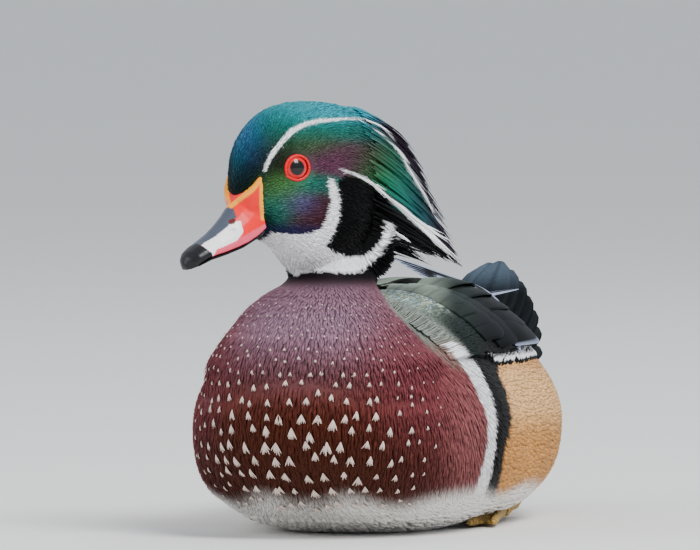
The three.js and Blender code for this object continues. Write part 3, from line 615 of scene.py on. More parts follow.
def body_paint(points):
    mirrored = left_of_body(points)
    x, _, z = mirrored.T
    places = in_picture(mirrored)
    across, down = places.T
    near = x > -5
    colour = patched(places, CHEST_PATCHES, crisp=0.7)
    colour = mix(colour, BAND, ramp(down, 296, 276) * ramp(z, 86, 92))
    shoulder = mix(SHOULDER, SHOULDER_LOW, ramp(down, 334, 356))
    on_shoulder = ramp(shoulder_at(across) - down, -3, 4) * ramp(across, 381, 388) * ramp(x, 82, 74)
    colour = mix(colour, shoulder, on_shoulder)
    rear = np.maximum(ramp(across - bar_rear_at(down), -1, 1), ramp(x, 2, -2))
    flank = mix(TAN, TAN_TOP, ramp(down, 378, 352))
    flank = mix(flank, TAN_LOW, ramp(down, 400, 440))
    flank = flank * (1 + 0.1 * np.sin(z * 2.6 + 1.5 * np.sin(x * 0.9)))[:, None]
    colour = mix(colour, flank, rear * ramp(x, 60, 50))
    colour[within(places, BLACK_BAR) & near] = BLACK
    colour[within(places, WHITE_BAR) & near] = WHITE
    wander = 1.8 * np.sin(x * 0.09) + 1.4 * np.sin(mirrored[:, 1] * 0.21 + 1)
    colour = mix(colour, BURGUNDY, ramp(x + 1.5 * wander, *BURGUNDY_FROM) * ramp(z, *BURGUNDY_LEVEL))
    colour = mix(colour, BACK, ramp(z, *BACK_FROM_LEVEL) * ramp(x, *BACK_FROM_STATION))
    colour = mix(colour, BELLY, ramp(z + wander, *BELLY_EDGE))
    colour = mix(colour, RUMP, ramp(x + wander, *RUMP_FROM))
    return colour


NECK_BLEND = (97, 105)


def paint(points):
    """The bird's markings anywhere on it: the head's run into the body's at the neck band."""
    z = points[:, 2]
    share = ramp(z, *NECK_BLEND)
    on_head, on_body_part = share > 0, share < 1
    head, body = np.zeros_like(points), np.zeros_like(points)
    head[on_head] = head_paint(points[on_head])
    body[on_body_part] = body_paint(points[on_body_part])
    return mix(body, head, share)


# Feathers as thin solid blades, many to a piece

PATCH = 0.003  # the size of one blade on the bake map


def blades(name, paths, half, thick, up, colour, root_uv, material, node, most=190000):
    """Closed blades with four sides along paths (blade, station, 3), wide and coloured by station."""
    count, stations = paths.shape[:2]
    ahead = unit(np.gradient(paths, axis=1))
    side = unit(np.cross(ahead, up))
    rise = np.cross(side, ahead)
    wide = side * half[..., None]
    deep = rise * np.broadcast_to(thick, half.shape)[..., None]
    rings = np.stack([paths - wide, paths + deep, paths + wide, paths - deep], axis=2)
    rings[..., 2] = np.maximum(rings[..., 2], BLADE_LOWEST)
    ring, corner = np.meshgrid(np.arange(stations - 1), np.arange(4), indexing="ij")
    a = (ring * 4 + corner).ravel()
    b = (ring * 4 + (corner + 1) % 4).ravel()
    last = (stations - 1) * 4
    caps = np.array([(0, 1, 2), (0, 2, 3), (last, last + 2, last + 1), (last, last + 3, last + 2)])
    template = np.concatenate([np.stack([a, b + 4, b], -1), np.stack([a, a + 4, b + 4], -1), caps])
    flat = rings.reshape(count, -1, 3)
    _, turned = outward(flat[0] - flat[0].mean(0), template)
    along = np.broadcast_to(np.linspace(-0.5, 0.5, stations)[:, None], (stations, 4))
    across = np.broadcast_to(np.array([-0.5, 0.06, 0.5, -0.06]), (stations, 4))
    offsets = PATCH * np.stack([across, along], -1).reshape(-1, 2)
    rgb = np.repeat(colour, 4, axis=1)
    group = most // len(template)
    for start in range(0, count, group):
        part = slice(start, min(start + group, count))
        size = part.stop - part.start
        faces = (turned[None] + np.arange(size)[:, None, None] * stations * 4).reshape(-1, 3)
        uv = (root_uv[part, None] + offsets).reshape(-1, 2)
        label = name if count <= group else f"{name}_{start // group + 1}"
        piece = add_object(label, flat[part].reshape(-1, 3), faces, rgb[part].reshape(-1, 3), material,
                           uv)
        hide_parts(*node)


def unwrapped(left, up, along):
    around = np.arctan2(left, up) / (2 * math.pi) + 0.5
    return np.clip(np.stack([around, along], -1), 0.004, 0.996)


def body_unwrap(points):
    return unwrapped(points[:, 1], points[:, 2] - 45, (points[:, 0] + 215) / 350)


def head_unwrap(points):
    local = to_head(points)
    return unwrapped(local[:, 1], local[:, 2] + 8, (local[:, 0] + 100) / 130)


def tufts(name, roots, normals, ahead, length, width, lift, material, node, unwrap, shade=0.09,
          stations=4, swing=0.06):
    """Small feathers that lie back over the skin: root sunk in, tip a little raised."""
    draw = np.random.default_rng(SEED)
    count = len(roots)
    side = np.cross(normals, ahead)
    ahead = unit(ahead + side * draw.normal(0, swing, count)[:, None])
    length = length * draw.uniform(0.8, 1.15, count)
    width = width * draw.uniform(0.85, 1.15, count)
    lift = lift * draw.uniform(0.7, 1.3, count)
    t = np.linspace(0, 1, stations)
    rise = -0.5 + (0.5 + lift[:, None]) * np.sin(0.5 * math.pi * np.minimum(t * 1.25, 1))
    rise = rise - 0.25 * lift[:, None] * t**2
    paths = roots[:, None] + ahead[:, None] * (length[:, None] * t)[..., None]
    paths = paths + normals[:, None] * rise[..., None]
    half = width[:, None] / 2 * np.interp(t, [0, 0.4, 0.75, 1], [0.55, 1, 0.8, 0.14])
    thick = 0.1 * np.interp(t, [0, 1], [1.2, 0.5])
    colour = paint(paths.reshape(-1, 3)).reshape(count, stations, 3)
    # Painted shade: each feather darker at its root, where it sinks under its neighbours, and a little lighter
    # at its tip.
    painted_root_shade = np.interp(t, [0, 0.5, 1], [0.88, 0.98, 1.04])
    tone = draw.normal(1, shade, count)[:, None, None] * painted_root_shade[None, :, None]
    brightness = colour.mean(axis=2, keepdims=True)
    tone = tone + (1 - tone) * ramp(brightness, 0.45, 0.8) * 0.7
    colour = colour * np.clip(tone, 0.4, 1.6)
    blades(name, paths, half, thick, normals[:, None], colour, unwrap(roots), material, node)


# The skin: one surface for torso, neck and head

NAPE_AT = (375, 238)  # in the picture
NAPE_OUT = 9
NAPE_RADIUS = 7
NAPE_HEIGHT = 15


def nape_skin(side):
    """The fuller feathering at the side of the nape, where the collar ends."""
    middle = head_place(*NAPE_AT, NAPE_OUT)
    polar = np.linspace(0.05, math.pi - 0.05, 24)[:, None]
    turn = circle(32)[None]
    ball = np.stack([NAPE_RADIUS * np.sin(polar) * np.cos(turn), NAPE_RADIUS * np.sin(polar) * np.sin(turn),
                     NAPE_HEIGHT * np.cos(polar) + 0 * turn], -1)
    return loft(from_head((ball + middle) * (1, side, 1)))


def make_skin():
    napes = [nape_skin(side) for side in SIDES.values()]
    points, faces = joined([torso_skin(COAT_DEPTH), neck_skin(COAT_DEPTH), head_skin(COAT_DEPTH)] + napes)
    points, faces = blended(points, faces, voxel=1.5, rounds=10)
    points[:, 2] = np.maximum(points[:, 2], SKIN_LOWEST)
    # The skin is a fifth darker than the plumage's colours there: painted shade in the gaps between the
    # feathers.
    skin = add_object("skin", points, faces, paint(points) * 0.8, breast_feather)
    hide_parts("torso", "neck", "head")
    return points, faces


skin_points, skin_faces = make_skin()


def scatter(count):
    """Places spread evenly over the skin, with its normals there."""
    draw = np.random.default_rng(SEED)
    a, b, c = (skin_points[skin_faces[:, i]] for i in range(3))
    cross = np.cross(b - a, c - a)
    area = np.linalg.norm(cross, axis=1)
    vertex_normals = np.zeros_like(skin_points)
    for i in range(3):
        np.add.at(vertex_normals, skin_faces[:, i], cross)
    vertex_normals = unit(vertex_normals)
    face = draw.choice(len(skin_faces), size=count, p=area / area.sum())
    r1, r2 = np.sqrt(draw.random(count)), draw.random(count)
    shares = np.stack([1 - r1, r1 * (1 - r2), r1 * r2], -1)[..., None]
    corners = skin_faces[face]
    return (skin_points[corners] * shares).sum(1), unit((vertex_normals[corners] * shares).sum(1))


def thinned(points, spacing):
    """Which points to keep so that they lie about a spacing apart."""
    _, first = np.unique(np.floor(points / spacing).astype(int), axis=0, return_index=True)
    return np.sort(first)


def body_degrees(points):
    """The angle of each point from the back's middle."""
    half, top, level, _ = body_section(points[:, 0])
    power = back_round_at(points[:, 0]) / 2
    across = np.clip(np.abs(points[:, 1]) / np.maximum(half, 1), 0, 1) ** power
    high = np.clip((points[:, 2] - level) / (top - level), -1, 1)
    return np.degrees(np.arctan2(across, np.sign(high) * np.abs(high) ** power))


def tangent(flow, normals):
    return unit(flow - normals * np.einsum("ij,ij->i", flow, normals)[:, None])


def body_flow(points, normals):
    spread = unit(points - (62, 0, 118))
    back = np.array([-1.0, 0, -0.16])
    under = np.array([-1.0, 0, 0.02])
    flow = mix(spread, back, ramp(points[:, 0], 66, 20))
    flow = mix(flow, under, ramp(points[:, 2], 26, 8) * 0.85)
    return tangent(flow, normals)


def head_flow(points, normals):
    local = to_head(points)
    spread = unit(local - (24, 0, -14))
    trail = unit(np.array([-0.86, 0, -0.5]))
    flow = mix(spread, trail, ramp(local[:, 0], 0, -46))
    down = np.array([-0.5, 0, -0.86])
    flow = mix(flow, down, ramp(local[:, 2], -22, -42))
    return tangent(flow @ HEAD_AXES.T, normals)


PLACES_TRIED = 420000
HEAD_SPACING = 0.9
EYE_CLEAR = 6.7  # no feather is rooted nearer to the eye's middle than this
EYE_STOP = 6.2  # and none reaches nearer than this
# Where the coat's regions meet: stations, levels, and degrees from the back's middle
BREAST_REAR = 36
RUMP_FRONT = -100
BELLY_TOP = 9
NECK_FOOT = 84
BACK_HALF = 43


def make_coat():
    points, normals = scatter(PLACES_TRIED)
    local = to_head(points)
    over_throat = (points - THROAT_AT) @ THROAT_UP > 0
    bare = within(local[:, [0, 2]], BARE_FACE)
    eye_far = np.full(len(points), 99.0)
    eye_way = np.zeros_like(points)
    for side in SIDES.values():
        middle = np.array([0.0, side * (EYE_OUT - 1.5), 0.0])
        offset = local - middle
        far = np.linalg.norm(offset, axis=1)
        nearer = far < eye_far
        eye_far[nearer] = far[nearer]
        eye_way[nearer] = -offset[nearer] @ HEAD_AXES.T
    on_head = over_throat & ~bare & (eye_far > EYE_CLEAR)
    keep = np.flatnonzero(on_head)[thinned(points[on_head], HEAD_SPACING)]
    ahead = head_flow(points[keep], normals[keep])
    face = ramp(local[keep, 0], -46, -14)
    length = 5.8 - 2.6 * face
    towards_eye = np.einsum("ij,ij->i", ahead, unit(eye_way[keep])) > 0.25
    room = np.maximum(eye_far[keep] - EYE_STOP, 0.8)
    length = np.where(towards_eye, np.minimum(length, room), length)
    width = 0.82 - 0.12 * face
    lift = 0.5 - 0.25 * face
    tufts("coat_head", points[keep], normals[keep], ahead, length, width, lift, head_feather,
          ["head"], head_unwrap, shade=0.16, stations=3, swing=0.11)

    degrees = body_degrees(points)
    x, _, z = points.T
    under_wing = (degrees > 10) & (degrees < 50) & (x > -80) & (x < 40)
    # Each: its name and node, where it grows, its spacing, and its feathers' length, width and lift
    before_rump = (x > RUMP_FRONT) & (x <= BREAST_REAR)
    above_belly = z > BELLY_TOP
    on_breast = (z <= NECK_FOOT) & (x > BREAST_REAR)
    on_back = (x <= 44) & (x > RUMP_FRONT) & (degrees <= BACK_HALF) & ~under_wing & (z < 96)
    regions = [
        ("coat_neck", ["neck"], ~over_throat & (z > NECK_FOOT) & (x > 20), 1.25, 6.0, 1.3, 0.3),
        ("coat_breast", ["torso"], on_breast & above_belly, 1.5, 8.0, 1.65, 0.25),
        ("coat_flank", ["torso"], before_rump & above_belly & (degrees > BACK_HALF), 1.9, 10.0, 2.1, 0.2),
        ("coat_back", ["torso"], on_back, 2.4, 12, 3.2, 0.8),
        ("coat_rump", ["torso"], (x <= RUMP_FRONT) & above_belly, 2.1, 13, 3.0, 1.0),
        ("coat_belly", ["torso"], (z <= BELLY_TOP), 2.9, 10, 3.3, 0.5),
    ]
    for name, node, chosen, spacing, long, wide, lift in regions:
        chosen = np.flatnonzero(chosen & ~over_throat)
        chosen = chosen[thinned(points[chosen], spacing)]
        flow = body_flow(points[chosen], normals[chosen])
        tufts(name, points[chosen], normals[chosen], flow, long, wide, lift, breast_feather,
              node, body_unwrap)


make_coat()

# White spots on the breast: small fans of white barbs, larger and further apart lower down

SPOT_TOP = 91.0
SPOT_LOW = 12
SPOT_REACH = 1.28  # how far round the breast the spots go, in radians
BARBS = 11  # in each spot's fan


def make_breast_spots():
    skin_object = bpy.data.objects["skin"]
    draw = np.random.default_rng(SEED + 1)
    roots, normals, sizes = [], [], []
    z = SPOT_TOP
    row = 0
    while z > SPOT_LOW:
        low = ramp(np.array([z]), 92, 40)[0]
        gap = 4.8 + 3.4 * low
        centre = Vector((70, 0, z))
        step = gap / 52.0
        for k in range(-int(1.3 / step), int(1.3 / step) + 1):
            turn = (k + 0.5 * (row % 2)) * step + draw.normal(0, 0.17 * step)
            if abs(turn) > SPOT_REACH:
                continue
            way = Vector((math.cos(turn), math.sin(turn), 0))
            start = (centre + way * 150 + Vector((0, 0, draw.normal(0, 0.12 * gap)))) * MM
            hit, place, normal, _ = skin_object.ray_cast(start, -way)
            if not hit:
                continue
            roots.append(np.array(place) / MM)
            normals.append(np.array(normal))
            sizes.append((0.7 + 3.9 * low**1.4) * (1 - 0.45 * abs(turn) ** 2) * draw.uniform(0.75, 1.15))
        z -= 3.6 + 2.5 * low
        row += 1
    roots, normals, sizes = np.array(roots), np.array(normals), np.array(sizes)
    flow = body_flow(roots, normals)
    side = np.cross(normals, flow)
    fan = np.linspace(-0.42, 0.42, BARBS)
    spread = np.repeat(fan[None], len(roots), 0) + draw.normal(0, 0.05, (len(roots), BARBS))
    ahead = unit(flow[:, None] * np.cos(spread)[..., None] + side[:, None] * np.sin(spread)[..., None])
    t = np.linspace(0, 1, 4)
    long = sizes[:, None] * draw.uniform(0.72, 1.15, (len(roots), BARBS))
    start = roots[:, None] + normals[:, None] * 1.0 + flow[:, None] * 1.0
    paths = start[:, :, None] + ahead[:, :, None] * (long[..., None] * t)[..., None]
    paths = paths + normals[:, None, None] * (0.25 * np.sin(math.pi * t))[None, None, :, None]
    paths = paths.reshape(-1, 4, 3)
    half = (sizes[:, None, None] * 0.055 + 0.06) * np.interp(t, [0, 0.6, 1], [0.5, 1, 0.4])
    half = np.broadcast_to(half, (len(roots), BARBS, 4)).reshape(-1, 4)
    tone = draw.normal(0.93, 0.08, (len(paths), 1, 1))
    colour = np.broadcast_to(linear(216, 196, 184), paths.shape) * np.clip(tone, 0.6, 1.1)
    up = np.repeat(normals, BARBS, 0)[:, None]
    uv = np.repeat(body_unwrap(roots), BARBS, 0)
    blades("breast_spots", paths, half, 0.1, up, colour, uv, white_feather, ["torso"])


make_breast_spots()

# The crest: long plumes over its core, and white ones in its lines

CREST_TIPS = np.array([(-65, 15, 1.5), (-75, 2, 2.5), (-84, -14, 3.5), (-91, -28, 5), (-93, -36, 8),
                       (-74, -32, 11)])
# White plumes on the left side, through places in the picture, with their width in millimetres
WHITE_PLUMES = [
    ([(374, 185), (402, 209), (430, 233), (461, 260)], 2.2),
    ([(380, 189), (406, 213), (432, 238), (457, 261)], 2.0),
    ([(356, 175), (372, 184), (390, 198), (408, 214)], 1.4),
    ([(392, 199), (412, 216), (434, 232), (451, 243)], 1.6),
    ([(392, 199), (410, 213), (428, 226), (444, 236)], 1.3),
    ([(390, 233), (397, 238), (403, 242), (408, 247)], 1.3),
    ([(394, 232), (405, 239), (417, 249), (429, 261)], 2.2),
    ([(396, 232), (407, 240), (420, 253), (430, 261)], 1.6),
    ([(405, 160), (416, 179), (427, 198), (436, 213)], 1.2),
]


PLUMES = 620
STRANDS = 4  # in each white plume


def bezier(points, stations):
    """Curves through three or four control points each: (curve, control, 3) to (curve, station, 3)."""
    t = np.linspace(0, 1, stations)
    result = points
    while result.shape[1] > 1:
        if result.ndim == 3:
            result = result[:, :, None] * np.ones((1, 1, stations, 1))
        result = result[:, :-1] * (1 - t)[None, None, :, None] + result[:, 1:] * t[None, None, :, None]
    return result[:, 0]


def side_out(ahead, up):
    """How far out the head's or the crest's side lies, at a place of its side view."""
    station = np.clip(ahead - HEAD_LEAN * up, -60, 21)
    level = cheek_level_at(station)
    reach = np.where(up > level, crown_at(station) - level, level - throat_at(station))
    share = np.clip(np.abs(up - level) / np.maximum(reach, 1), 0, 1)
    head = cheek_at(station) * np.sqrt(1 - share**2)
    crest = 10.5 - 8.5 * ramp(ahead, -48, -92)
    return np.where(ahead < -57, crest, np.maximum(head, np.minimum(crest, head + 4)))


def make_crest():
    draw = np.random.default_rng(SEED + 2)
    count = PLUMES
    share = draw.random(count)
    side = np.where(draw.random(count) < 0.5, LEFT, RIGHT)
    root_x = draw.uniform(-57, -36, count)
    angle = math.pi * (0.02 + 0.7 * share)
    level = cheek_level_at(root_x)
    reach = np.where(np.cos(angle) > 0, crown_at(root_x) - level, level - throat_at(root_x)) - COAT_DEPTH
    root_y = (cheek_at(root_x) - COAT_DEPTH) * np.sin(angle)
    root_z = level + reach * np.cos(angle)
    root = np.stack([root_x + HEAD_LEAN * root_z, side * root_y, root_z], -1)
    at = np.clip(share * (len(CREST_TIPS) - 1), 0, len(CREST_TIPS) - 1.001)
    first = at.astype(int)
    tip = CREST_TIPS[first] + (CREST_TIPS[first + 1] - CREST_TIPS[first]) * (at - first)[:, None]
    tip = np.stack([tip[:, 0], side * (tip[:, 2] + draw.normal(0, 0.8, count)), tip[:, 1]], -1)
    tip = root + (tip - root) * draw.uniform(0.55, 1.0, count)[:, None]
    middle = root + (tip - root) * 0.5
    middle[:, 1] += side * 3.0 * np.sin(angle)
    middle[:, 2] += 3.0 * np.cos(angle) + 1.0
    paths = from_head(bezier(np.stack([root, middle, tip], 1), 8))
    t = np.linspace(0, 1, 8)
    half = draw.uniform(0.45, 0.95, count)[:, None] * np.interp(t, [0, 0.3, 0.7, 1], [0.6, 1, 0.75, 0.08])
    out = np.stack([np.zeros(count), side * np.sin(angle), np.cos(angle) * 0.6], -1) @ HEAD_AXES.T
    up = unit(out)[:, None]
    colour = head_paint(paths.reshape(-1, 3)).reshape(paths.shape)
    colour = colour * draw.normal(1, 0.16, count)[:, None, None]
    blades("crest_plumes", paths, half, half * 0.3 + 0.05, up, colour, head_unwrap(paths[:, 1]),
           head_feather, ["crest"])

    controls, widths, ups = [], [], []
    for places, width in WHITE_PLUMES:
        for name_side in SIDES.values():
            for _ in range(STRANDS):
                line = np.array([head_place(across, down, 12) for across, down in places])
                outs = np.maximum(side_out(line[:, 0], line[:, 2]) + 1.8, np.linspace(16.5, 10, 4))
                line = np.array([head_place(*place, out) for place, out in zip(places, outs)])
                line += draw.normal(0, 0.34, line.shape) * np.array([[0], [0.4], [1], [1.6]])
                line[:, 1] *= name_side
                controls.append(line)
                widths.append(width * draw.uniform(0.45, 0.65))
                ups.append(np.array([0.1, name_side, 0.35]) @ HEAD_AXES.T)
    lines = np.array(controls)
    t = np.linspace(0, 3, 10)
    first = np.minimum(t.astype(int), 2)
    paths = from_head(lines[:, first] + (lines[:, first + 1] - lines[:, first]) * (t - first)[None, :, None])
    taper = np.interp(np.linspace(0, 1, 10), [0, 0.35, 0.75, 1], [0.5, 1, 0.8, 0.1])
    half = np.array(widths)[:, None] / 1.6 * taper
    colour = np.broadcast_to(WHITE, paths.shape) * draw.normal(0.97, 0.04, len(paths))[:, None, None]
    up = unit(np.array(ups))[:, None]
    blades("crest_white", paths, half, half * 0.25 + 0.05, up, colour, head_unwrap(paths[:, 1]),
           white_feather, ["crest"])


make_crest()

# Flight feathers: broad vanes with an arched blade, a shaft line and an edge colour

def vane(points, up, width, thick, shape, slant, colour_at, arch, stations=16):
    """One closed vane along a curve through its points. colour_at(along, across, points) gives its paint."""
    controls = np.asarray(points, dtype=float)
    stops = np.linspace(0, 1, len(controls))
    t = np.linspace(0, 1, stations)
    centre = np.stack([curve(list(zip(stops, controls[:, i])))(t) for i in range(3)], -1)
    ahead = unit(np.gradient(centre, axis=0))
    side = unit(np.cross(ahead, up(centre)))
    rise = np.cross(side, ahead)
    tilt = math.radians(slant)
    side, rise = side * math.cos(tilt) + rise * math.sin(tilt), rise * math.cos(tilt) - side * math.sin(tilt)
    across = 9
    u = np.linspace(-1, 1, across)
    half = width / 2 * shape(t)
    droop = -arch * half[:, None] * (u[None] ** 2 * 2 - 1)
    body = thick / 2 * (1 - 0.4 * t)[:, None] * (1 - 0.75 * u[None] ** 2)
    sheet = centre[:, None] + side[:, None] * (half[:, None] * u[None])[..., None]
    top = sheet + rise[:, None] * (droop + body)[..., None]
    bottom = sheet + rise[:, None] * (droop - body)[..., None]
    rings = np.concatenate([top, bottom[:, ::-1]], axis=1)
    points_made, faces = loft(rings)
    along = np.repeat(t, across * 2)
    sideways = np.tile(np.concatenate([u, u[::-1]]), stations)
    along = np.concatenate([along, [0.0, 1.0]])
    sideways = np.concatenate([sideways, [0.0, 0.0]])
    lower = np.tile(np.concatenate([np.zeros(across), np.ones(across)]), stations)
    lower = np.concatenate([lower, [0.0, 0.0]])
    colour = colour_at(along, sideways, points_made)
    uv = np.stack([0.25 + 0.24 * sideways + 0.5 * lower, 0.02 + 0.96 * along], -1)
    return points_made, faces, colour, uv


def vane_piece(name, vanes, material, node):
    """Vanes joined into one piece, each with its own field on the bake map."""
    columns = math.ceil(math.sqrt(len(vanes)))
    points, faces = joined([(made[0], made[1]) for made in vanes])
    colour = np.concatenate([made[2] for made in vanes])
    fields = []
    for i, made in enumerate(vanes):
        corner = np.array([i % columns, i // columns])
        fields.append((made[3] * 0.96 + 0.02 + corner) / columns)
    points[:, 2] = np.maximum(points[:, 2], VANE_LOWEST)
    piece = add_object(name, points, faces, colour, material, np.concatenate(fields))
    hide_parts(*node)


def broad_tip(t):
    rounded = np.sqrt(np.clip(1 - 0.98 * (np.maximum(t - 0.5, 0) / 0.5) ** 2, 0, 1))
    return np.where(t < 0.5, 0.62 + 0.38 * t / 0.5, rounded)


def pointed_tip(t):
    return np.where(t < 0.45, 0.75 + 0.25 * t / 0.45, 1 - 0.93 * (np.clip(t - 0.45, 0, 1) / 0.55) ** 1.7)


def away_from_body(points):
    return unit(points * (0, 1, 1) - (0, 0, 40))


# The folded wing's field on the body: stations along it, and degrees from the back's middle
WING_FRONT = 52
WING_REAR = -84
WING_TOP = 7
WING_EDGE = 50
PAD_EDGE = 54
COVERTS_TRIED = 3600
COVERT_SPACING = 1.7
SHOULDER_BLADES = 1400


def pad_lift(x, degrees):
    along = np.clip((WING_FRONT - x) / (WING_FRONT - WING_REAR), 0, 1)
    round_share = np.clip((degrees - WING_TOP) / (PAD_EDGE - WING_TOP), 0, 1)
    dome = np.sin(math.pi * along) ** 0.6 * np.sin(math.pi * round_share) ** 0.5
    return 1.3 + 3 * dome


def vane_colour(base, tone, edge=None, edge_from=0.72, edge_side=0):
    """A vane's paint: its base by place, darker to the root with painted shade, darker along the shaft, with a
    coloured edge.
    """
    def read(along, across, points):
        # Painted shade: the vane darker towards its root, where other vanes lie over it.
        colour = base(points) * (tone * (0.7 + 0.4 * ramp(along, 0.1, 0.8)))[:, None]
        shaft = ramp(np.abs(across), 0.09, 0.02)
        colour = colour * (1 - 0.4 * shaft)[:, None]
        if edge is not None:
            sideways = across * edge_side if edge_side else np.abs(across)
            colour = mix(colour, edge, ramp(sideways, edge_from, edge_from + 0.08))
        return colour

    return read


PALE = linear(126, 138, 124)
PALE_BLUE_GLOSS = linear(160, 196, 206)
CREAM = linear(206, 214, 186)
GREEN_BLACK = linear(24, 36, 32)
BLUE_BLACK = linear(12, 14, 18)
TAIL_GLOSS = linear(72, 84, 96)
SILVER = linear(150, 158, 182)
PRIMARY_COURSE = {
    "left": [(-92, 16, 91.5), (-120, -6, 95), (-150, -36, 101.5)],
    "right": [(-92, -14, 84), (-118, 2, 86.5), (-146, 20, 89.5)],
}


def wing_paint(points, chance):
    """Pale grey-green before, paler towards the top, with light streaks, and glossy black behind; the pale
    front and its pale blue streaks are partly the feathers' colour and partly painted gloss.
    """
    across, down = in_picture(left_of_body(points)).T
    colour = mix(GREEN_BLACK, BLUE_BLACK, ramp(across, 460, 490))
    # Paler towards the top: partly the feathers' colour and partly painted gloss.
    colour = mix(colour, PALE, ramp(across, 458, 422) * (0.5 + 0.5 * ramp(down, 330, 300)))
    streak = ramp(across, 462, 440) * ramp(down, 318, 300)
    # The pale blue streaks: partly the feathers' edges and partly painted gloss.
    colour = mix(colour, PALE_BLUE_GLOSS, (chance < 0.22) * streak * 0.9)
    return mix(colour, CREAM, (chance > 0.78) * streak * 0.9)


def make_wing(name):
    side = SIDES[name]
    node = [f"wing_{name}"]
    draw = np.random.default_rng(SEED + 3)

    columns, lengths = 22, 60
    share = np.linspace(0, 1, columns)[None]
    run = np.linspace(0, 1, lengths)[:, None]
    x = (WING_FRONT - 18 * (2 * share - 1) ** 2) * (1 - run) + WING_REAR * run
    degrees = np.broadcast_to(WING_TOP + (WING_EDGE - WING_TOP) * share, x.shape)
    upper, _ = on_body(x, side * degrees, pad_lift(x, degrees) - 0.9)
    lower, _ = on_body(x, side * degrees, -1.2)
    points, faces = loft(np.concatenate([upper, lower[:, ::-1]], axis=1))
    # A fifth darker than the wing's colours: painted shade under the coverts and vanes.
    colour = wing_paint(points, 0.5) * 0.8
    pad = add_object(f"wing_{name}_pad", points, faces, colour, wing_feather)
    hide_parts(*node)

    count = COVERTS_TRIED
    x = draw.uniform(-20, 50, count)
    degrees = draw.uniform(8, 52, count)
    keep = thinned(np.stack([x, degrees * 1.05, np.zeros(count)], -1), COVERT_SPACING)
    x, degrees = x[keep], degrees[keep]
    roots, normals = on_body(x, side * degrees, pad_lift(x, degrees) - 0.8)
    flow = tangent(np.broadcast_to(np.array([-1.0, -side * 0.12, -0.05]), roots.shape), normals)
    length = (8 + 6 * ramp(x, 40, 0)) * draw.uniform(0.85, 1.15, len(x))
    t = np.linspace(0, 1, 6)
    paths = roots[:, None] + flow[:, None] * (length[:, None] * t)[..., None]
    paths += normals[:, None] * (0.75 * np.sin(0.5 * math.pi * t) - 0.5 * t**2)[None, :, None]
    half = draw.uniform(0.7, 1.3, len(x))[:, None] * np.interp(t, [0, 0.4, 0.8, 1], [0.6, 1, 0.8, 0.2])
    colour = wing_paint(roots, draw.random(len(roots)))[:, None]
    # Painted shade: each covert darker at its root, and a little lighter towards its tip.
    colour = colour * np.interp(t, [0, 1], [0.75, 1.1])[None, :, None]
    colour = colour * draw.normal(1, 0.12, len(x))[:, None, None]
    blades(f"wing_{name}_coverts", paths, half, 0.08, normals[:, None], colour, body_unwrap(roots),
           wing_feather, node)

    count = SHOULDER_BLADES
    x = draw.uniform(38, 62, count)
    degrees = draw.uniform(6, 54, count)
    roots, normals = on_body(x, side * degrees, -0.6)
    t = np.linspace(0, 1, 5)
    station = x[:, None] - 17 * t * draw.uniform(0.7, 1.1, count)[:, None]
    turn = np.broadcast_to(degrees[:, None], station.shape)
    raised = np.where(station < WING_FRONT, pad_lift(station, np.minimum(turn, WING_EDGE)), 0.6)
    over = raised * ramp(t, 0, 0.9)[None]
    paths, _ = on_body(station, side * turn, over - 0.5 + 0.5 * ramp(t, 0, 0.6)[None])
    half = draw.uniform(0.45, 0.75, count)[:, None] * np.interp(t, [0, 0.4, 0.8, 1], [0.6, 1, 0.8, 0.15])
    colour = body_paint(paths.reshape(-1, 3)).reshape(paths.shape)
    pale = wing_paint(paths.reshape(-1, 3), np.repeat(draw.random(count), 5)).reshape(paths.shape)
    colour = colour + (pale - colour) * ramp(station, 50, 40)[..., None]
    colour = colour * draw.normal(1, 0.09, count)[:, None, None]
    blades(f"wing_{name}_shoulder", paths, half, 0.06, normals[:, None], colour, body_unwrap(roots),
           wing_feather, node)

    def tinted(edge=None, edge_from=0.8, edge_side=0):
        tone = draw.uniform(0.8, 1.15)
        return vane_colour(lambda points: wing_paint(points, 0.5), tone, edge, edge_from, edge_side)

    vanes = []
    for tier in range(4):
        for k in range(7):
            root_x = 8 - 15 * tier + draw.uniform(-3, 3)
            angle = 11 + 5.6 * k + (tier % 2) * 2.8
            shares = np.array([0, 0.4, 0.75, 1])
            station = root_x - 36 * shares
            turn = angle - 3 * shares
            lifts = pad_lift(station, turn) + np.array([-0.6, 0.4, 0.8, 0.8])
            line, _ = on_body(station, side * turn, lifts)
            vanes.append(vane(line, away_from_body, 12, 0.4, broad_tip, 4 * side, tinted(), 0.03))
    for k, angle in enumerate((14, 22, 30, 38, 46)):
        station = np.array([-30, -52, -75, -97 + 3 * k])
        turn = angle - np.array([0, 1, 3, 4])
        lifts = np.array([3.4, 6.2 - 0.4 * k, 8.2 - 0.8 * k, 9.2 - 1.2 * k])
        line, _ = on_body(station, side * turn, lifts)
        edge = SILVER if angle > 40 else None
        colour_at = tinted(edge, 0.8, side)
        vanes.append(vane(line, away_from_body, 19, 0.5, broad_tip, 5 * side, colour_at, 0.05, stations=20))
    for k in range(5):
        knee, cross, tip = [np.array(place) for place in PRIMARY_COURSE[name]]
        inward = np.array([3.4 * k, side * (1 + 1.5 * k), -0.75 * k])
        first, _ = on_body(-34 - 2 * k, side * (50 - 3 * k), 2.2)
        second, _ = on_body(-62, side * (38 - 4 * k), 4.4 - 0.3 * k)
        line = [first, second, knee + inward * 0.5, cross + inward * 0.8, tip + inward]
        line[4] = line[4] + (line[3] - line[4]) * 0.1 * k
        colour_at = tinted(SILVER, 0.35)
        vanes.append(vane(line, away_from_body, 12.5, 0.45, pointed_tip, 0, colour_at, 0.09, stations=24))
    vane_piece(f"wing_{name}_vanes", vanes, wing_feather, node)


for wing_name in SIDES:
    make_wing(wing_name)

# The long flank feathers, barred black and white, that edge the wing

EDGE_BLADES = 420


